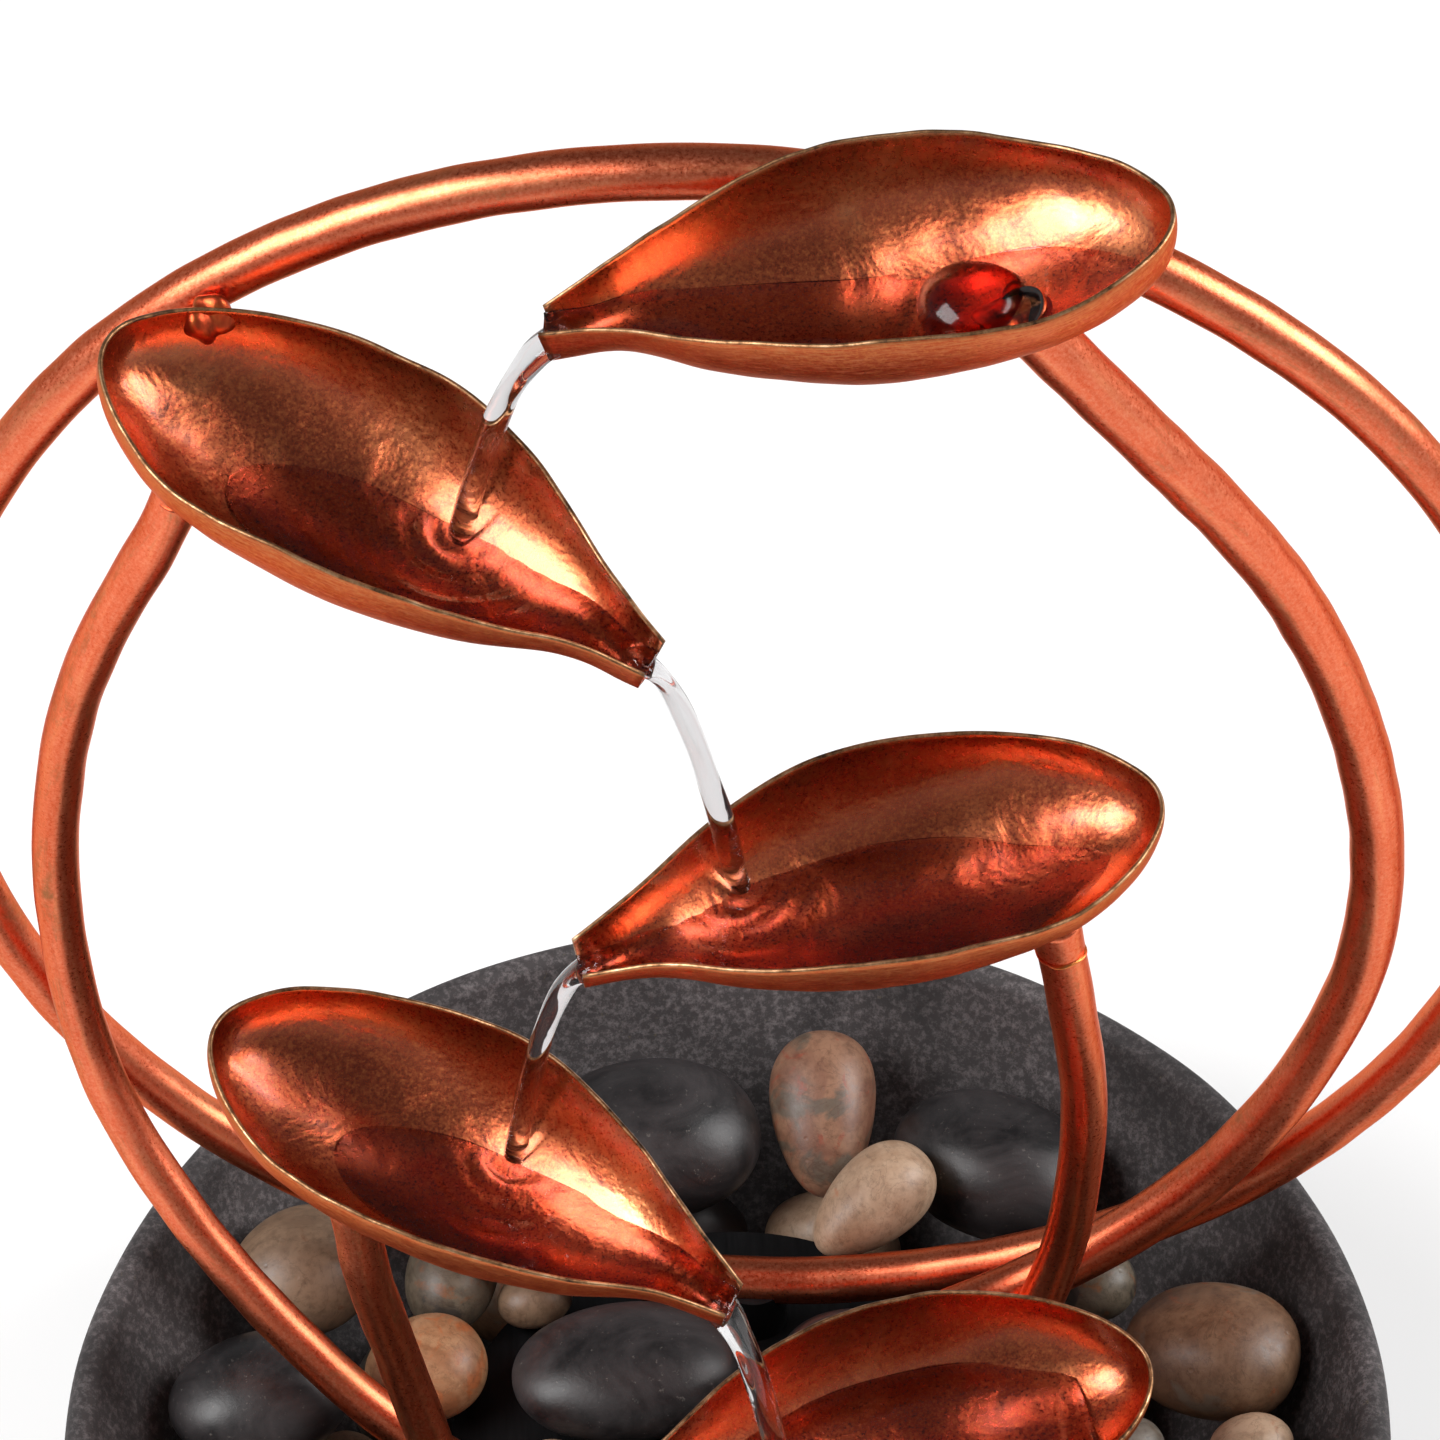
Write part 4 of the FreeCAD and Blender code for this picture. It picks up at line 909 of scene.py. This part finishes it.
def make_pebbles():
    bodies = frame["record"]["behaviour"]["bodies"]
    seed = 200
    for node, stones in PEBBLES.items():
        body = next(name for name, nodes in bodies.items() if node in nodes)
        for number, stone in enumerate(stones, start=1):
            seed += 1
            make_pebble(f"{node}_{number}", node, body, seed, *stone)
    long, wide, high = LOWER_HALF_SIZES
    for number in range(LOWER_COUNT):
        angle = 2 * math.pi * number / LOWER_COUNT
        swell = 1.0 + 0.06 * math.sin(5 * angle)
        around = LOWER_CIRCLE * np.array([math.cos(angle), math.sin(angle), 0.0])
        make_pebble(f"pebbles_lower_{number + 1}", "pebbles_lower", BOWL_BODY, 300 + number,
                    LOWER_KINDS[number % len(LOWER_KINDS)], LOWER_CENTRE + around,
                    (long * swell, wide * swell, high), math.degrees(angle))


# ---- water

# Each leaf's water: where it begins along the leaf, how deep it runs, and the height of its
# level surface over the middle of the lip's edge.
POOLS = {"leaf_1": (0.06, 2.6, -1.6), "leaf_2": (0.26, 3.0, -2.0), "leaf_3": (0.1, 1.6, -3.6),
         "leaf_4": (0.26, 3.0, -2.0), "leaf_5": (0.12, 1.6, -4.6)}
MENISCUS, MENISCUS_WIDTH = 0.7, 1.2
WALL_GAP = 0.03  # between the water and the leaf's wall
FILM_COLUMNS = 61
RIPPLE_SPACING, RIPPLE_HEIGHT = 10.0, 0.12
# The rings where a stream lands: their height and spacing, and how far out they fade.
RING_HEIGHT, RING_SPACING, RING_FADE = 1.0, 4.4, 6.5
STREAM_START = (-3.0, 0.0, -4.2)  # from the middle of the lip's edge, in the leaf's directions
STREAM_SLOPE = 0.04  # the part of its fall that a stream makes at an even rate
# Water wells up in the top leaf over the end of the feed tube.
WELL_CENTRE, WELL_HALF_SIZES = (47.6, 14.6, 322.4), (9.0, 8.6, 5.8)
# Each stream, by the leaf it pours from: the point it lands on, its half width at the lip and
# the leaf it falls into.
STREAMS = {
    "leaf_1": ((-34.5, 18.2, 275.8), 4.4, "leaf_2"),
    "leaf_2": ((7.1, 1.6, 207.6), 4.2, "leaf_3"),
    "leaf_3": ((-33.4, -7.6, 151.8), 3.8, "leaf_4"),
    "leaf_4": ((11.8, -44.0, 84.8), 4.0, "leaf_5"),
    "leaf_5": ((-47.0, -47.0, 44.0), 4.0, None)}


def make_water_film(name, landing, seed):
    """Water lying in a leaf: a level pool where the leaf holds one, and a running film."""
    tip, lean = (math.radians(angle) for angle in LEAF_PLACES[name][2:])
    begin, film, level = POOLS[name]
    part = np.linspace(begin, 1.0, 100)
    half, depth, rise = leaf_shape(part, LEAF_WALL + WALL_GAP)
    x = LEAF_LENGTH * (part - 1)
    film = film * np.sin(np.clip((part - begin) / 0.3, 0, 1) * math.pi / 2) - 0.2
    film = film * (1 - 0.2 * part ** 4)
    flat = (level + x * math.sin(tip)) / (math.cos(tip) * math.cos(lean))
    over = flat - (rise - depth + film)
    middle = rise - depth + film + 0.5 * (over + np.sqrt(over ** 2 + 0.6))
    slant = math.tan(lean)
    reach = np.hypot(depth, slant * half)
    shift = np.arctan2(slant * half, depth)
    climb = MENISCUS * np.clip((part - begin) / 0.2, 0, 1)
    open_angle = np.arccos(np.clip((rise - middle - climb) / reach, -1, 1))
    across = np.sin(np.linspace(-1, 1, FILM_COLUMNS) * math.pi / 2)
    angle = -shift[:, None] + open_angle[:, None] * across
    y_low, y_high = half * np.sin(angle[:, 0]), half * np.sin(angle[:, -1])
    y = y_low[:, None] + (y_high - y_low)[:, None] * (across + 1) / 2
    side = y / half[:, None]
    xx = np.broadcast_to(x[:, None], y.shape)
    floor = rise[:, None] - depth[:, None] * np.sqrt(1 - side ** 2)
    floor = floor - leaf_dents(name, np.stack([xx, y, floor], -1), side, part[:, None])
    from_edge = np.minimum(y - y_low[:, None], y_high[:, None] - y)
    top = middle[:, None] - slant * y + climb[:, None] * np.exp(-from_edge / MENISCUS_WIDTH)
    spots = np.stack([xx, y, 0 * y], -1).reshape(-1, 3)
    calm = (1 - across ** 4)[None, :]
    ripples = waves(spots * [0.6, 1, 1], RIPPLE_SPACING, seed).reshape(y.shape)
    top = top + ripples * RIPPLE_HEIGHT * calm
    if landing is not None:
        spot = world_to_leaf(name, landing)
        away = np.hypot(xx - spot[0], y - spot[1])
        rings = np.cos(away * 2 * math.pi / RING_SPACING) * np.exp(-away / RING_FADE)
        top = top - RING_HEIGHT * rings * calm
    top = np.maximum(top, floor + 0.01)
    upper = np.stack([xx, y, top], -1)
    under = np.stack([xx, y, floor - 0.35], -1)
    loop = np.concatenate([upper, under[:, ::-1]], axis=1)
    around = loop.shape[1]
    faces = strip_faces(len(part), around)
    faces.append(tuple(range(around)))
    faces.append(tuple(range((len(part) - 1) * around, len(part) * around))[::-1])
    points = leaf_to_world(name, loop.reshape(-1, 3))
    piece = outward(new_piece(name + "_water", points, faces, [POOL_WATER]))
    finish_piece(piece)


def make_stream(name, landing, half_width, into, seed):
    """A falling ribbon of water: it slides over the lip, falls on a parabola and narrows."""
    turn, lip = leaf_matrix(name)
    start = lip + turn @ STREAM_START
    t = np.linspace(0, 1, 80)
    level = start[:2] + (landing[:2] - start[:2]) * t[:, None]
    fallen = STREAM_SLOPE * t + (1 - STREAM_SLOPE) * t ** 2
    height = start[2] - (start[2] - landing[2]) * fallen
    line = np.concatenate([level, height[:, None]], 1) * MM
    wide = half_width * (1.0 - 0.42 * t ** 0.5) * (1 + 0.05 * np.sin(t * 19 + seed))
    wide = wide * (0.62 + 0.38 * np.sin(np.clip(t / 0.12, 0, 1) * math.pi / 2))
    thin = 1.6 + 0.5 * t + 0.1 * np.sin(t * 17 + 2 * seed)
    piece = tube_piece(name + "_stream", line, wide * MM, STREAM_WATER, seed, around=32,
                       squeeze=thin / wide, into=into)
    finish_piece(piece)


def make_water():
    landings = {into: landing for landing, _, into in STREAMS.values()}
    for seed, (name, (landing, half_width, into)) in enumerate(STREAMS.items(), start=71):
        make_water_film(name, landings.get(name), seed)
        make_stream(name, landing, half_width, into, seed)
    points, faces = lumpy_ball(WELL_CENTRE, WELL_HALF_SIZES, 91, 0.025, 1.6)
    finish_piece(new_piece("leaf_1_well", points * MM, faces, [WELL_WATER]))


# ---- carried-over CAD nodes

def dress_nodes():
    """Materials for the CAD nodes that are drawn as they are; most are the pump's plastic."""
    pump = moulded("pump_black_plastic", (0.022, 0.022, 0.024), 0.42)
    finishes = {
        # Painted shade: the deck, its legs and the ring's saddle are near-black for the shade in
        # the gaps between the pebbles.
        plain_metal("deck_steel_painted_shade", (0.03, 0.03, 0.032), 0.5):
            ("deck_plate", "deck_legs", "ring_saddle"),
        plain_metal("core_steel", (0.32, 0.32, 0.34), 0.45): ("pump_coil_cores",),
        plain_metal("magnet_ferrite", (0.1, 0.1, 0.11), 0.5): ("rotor_magnet",),
        hose_plastic(): ("outlet_hose",),
        moulded("dial_grey_plastic", (0.1, 0.105, 0.11), 0.4): ("flow_regulator",),
        moulded("pump_rubber", (0.03, 0.03, 0.03), 0.72, 300.0):
            ("pump_cable_gland", "pump_suction_feet", "rear_shaft_bush", "front_shaft_bush"),
        moulded("foot_pad_rubber", (0.045, 0.043, 0.041), 0.82, 260.0): ("foot_pad",),
        moulded("seal_resin", (0.035, 0.03, 0.028), 0.3): ("pump_resin_seal",),
        moulded("shaft_ceramic", (0.8, 0.78, 0.74), 0.2): ("pump_shaft",),
        moulded("impeller_plastic", (0.62, 0.63, 0.62), 0.38): ("impeller_wheel",)}
    finish_of = {name: finish for finish, names in finishes.items() for name in names}
    for name, node in frame["nodes"].items():
        if not node.hide_render:
            node.data.materials.clear()
            node.data.materials.append(finish_of.get(name, pump))


# ---- studio

CAMERA_PLACE = Vector((0.0, -0.6517, 0.9308))
PITCH, YAW, ROLL = (math.radians(a) for a in (46.3, 0.47, 2.76))
CAMERA_LENS = 146.6


def make_camera():
    ahead = Vector((math.sin(YAW) * math.cos(PITCH),
                    math.cos(YAW) * math.cos(PITCH), -math.sin(PITCH)))
    right = Vector((math.cos(YAW), -math.sin(YAW), 0))
    down = ahead.cross(right)
    across = math.cos(ROLL) * right + math.sin(ROLL) * down
    below = -math.sin(ROLL) * right + math.cos(ROLL) * down
    camera = bpy.data.objects.new("camera", bpy.data.cameras.new("camera"))
    camera.data.sensor_width = 36.0
    camera.data.lens = CAMERA_LENS
    camera.data.clip_start = 0.05
    turn = Matrix((across, -below, -ahead)).transposed().to_4x4()
    camera.matrix_world = Matrix.Translation(CAMERA_PLACE) @ turn
    bpy.context.scene.collection.objects.link(camera)
    bpy.context.scene.camera = camera


def area_light(name, place, target, width, height, power):
    light = bpy.data.lights.new(name, "AREA")
    light.shape = "RECTANGLE"
    light.size, light.size_y = width, height
    light.energy = power
    holder = bpy.data.objects.new(name, light)
    holder.location = place
    holder.rotation_mode = "QUATERNION"
    holder.rotation_quaternion = (Vector(target) - Vector(place)).to_track_quat("-Z", "Y")
    bpy.context.scene.collection.objects.link(holder)


FLOOR_HALF_SIZE = 4.0
FLOOR_GLOW = 0.38
# The studio's brightness at the sine of each height above the horizon.
WORLD_LEVELS = [(0.0, 0.44), (0.22, 0.36), (0.6, 0.12)]


def make_studio():
    floor_paint = Paint("studio_floor")
    tone = floor_paint.ramp(floor_paint.noise(3, 2), (0.3, 0.6), (0.7, 0.62))
    floor_material = floor_paint.done(Base_Color=tone, Roughness=0.9, Specular_IOR_Level=0.1,
                                      Emission_Color=(1.0, 1.0, 1.0), Emission_Strength=FLOOR_GLOW)
    half = FLOOR_HALF_SIZE
    corners = [(-half, -half, 0), (half, -half, 0), (half, half, 0), (-half, half, 0)]
    floor = new_piece("studio_floor", corners, [(0, 1, 2, 3)], [floor_material])
    aim = (0, 0.02, 0.2)
    area_light("left_softbox", (-0.95, -0.3, 1.12), aim, 0.85, 0.8, 24.0)
    area_light("right_softbox", (1.15, 0.05, 0.88), aim, 0.75, 0.8, 19.0)
    world = bpy.data.worlds.new("studio")
    bpy.context.scene.world = world
    world.use_nodes = True
    nodes, links = world.node_tree.nodes, world.node_tree.links
    direction = nodes.new("ShaderNodeTexCoord").outputs["Generated"]
    split = nodes.new("ShaderNodeSeparateXYZ")
    fade = nodes.new("ShaderNodeValToRGB")
    marks = fade.color_ramp.elements
    for mark, (height, level) in zip([marks[0], marks.new(0.5), marks[-1]], WORLD_LEVELS):
        mark.position, mark.color = height, (level, level, level, 1.0)
    links.new(direction, split.inputs[0])
    links.new(split.outputs["Z"], fade.inputs[0])
    links.new(fade.outputs["Color"], nodes["Background"].inputs["Color"])
    bpy.context.scene.view_settings.view_transform = "Standard"


make_camera()
for leaf_seed, leaf_name in enumerate(LEAF_PLACES, start=11):
    make_leaf(leaf_name, leaf_seed)
make_tubes()
make_solder()
make_bowl()
make_pebbles()
make_water()
dress_nodes()
make_studio()
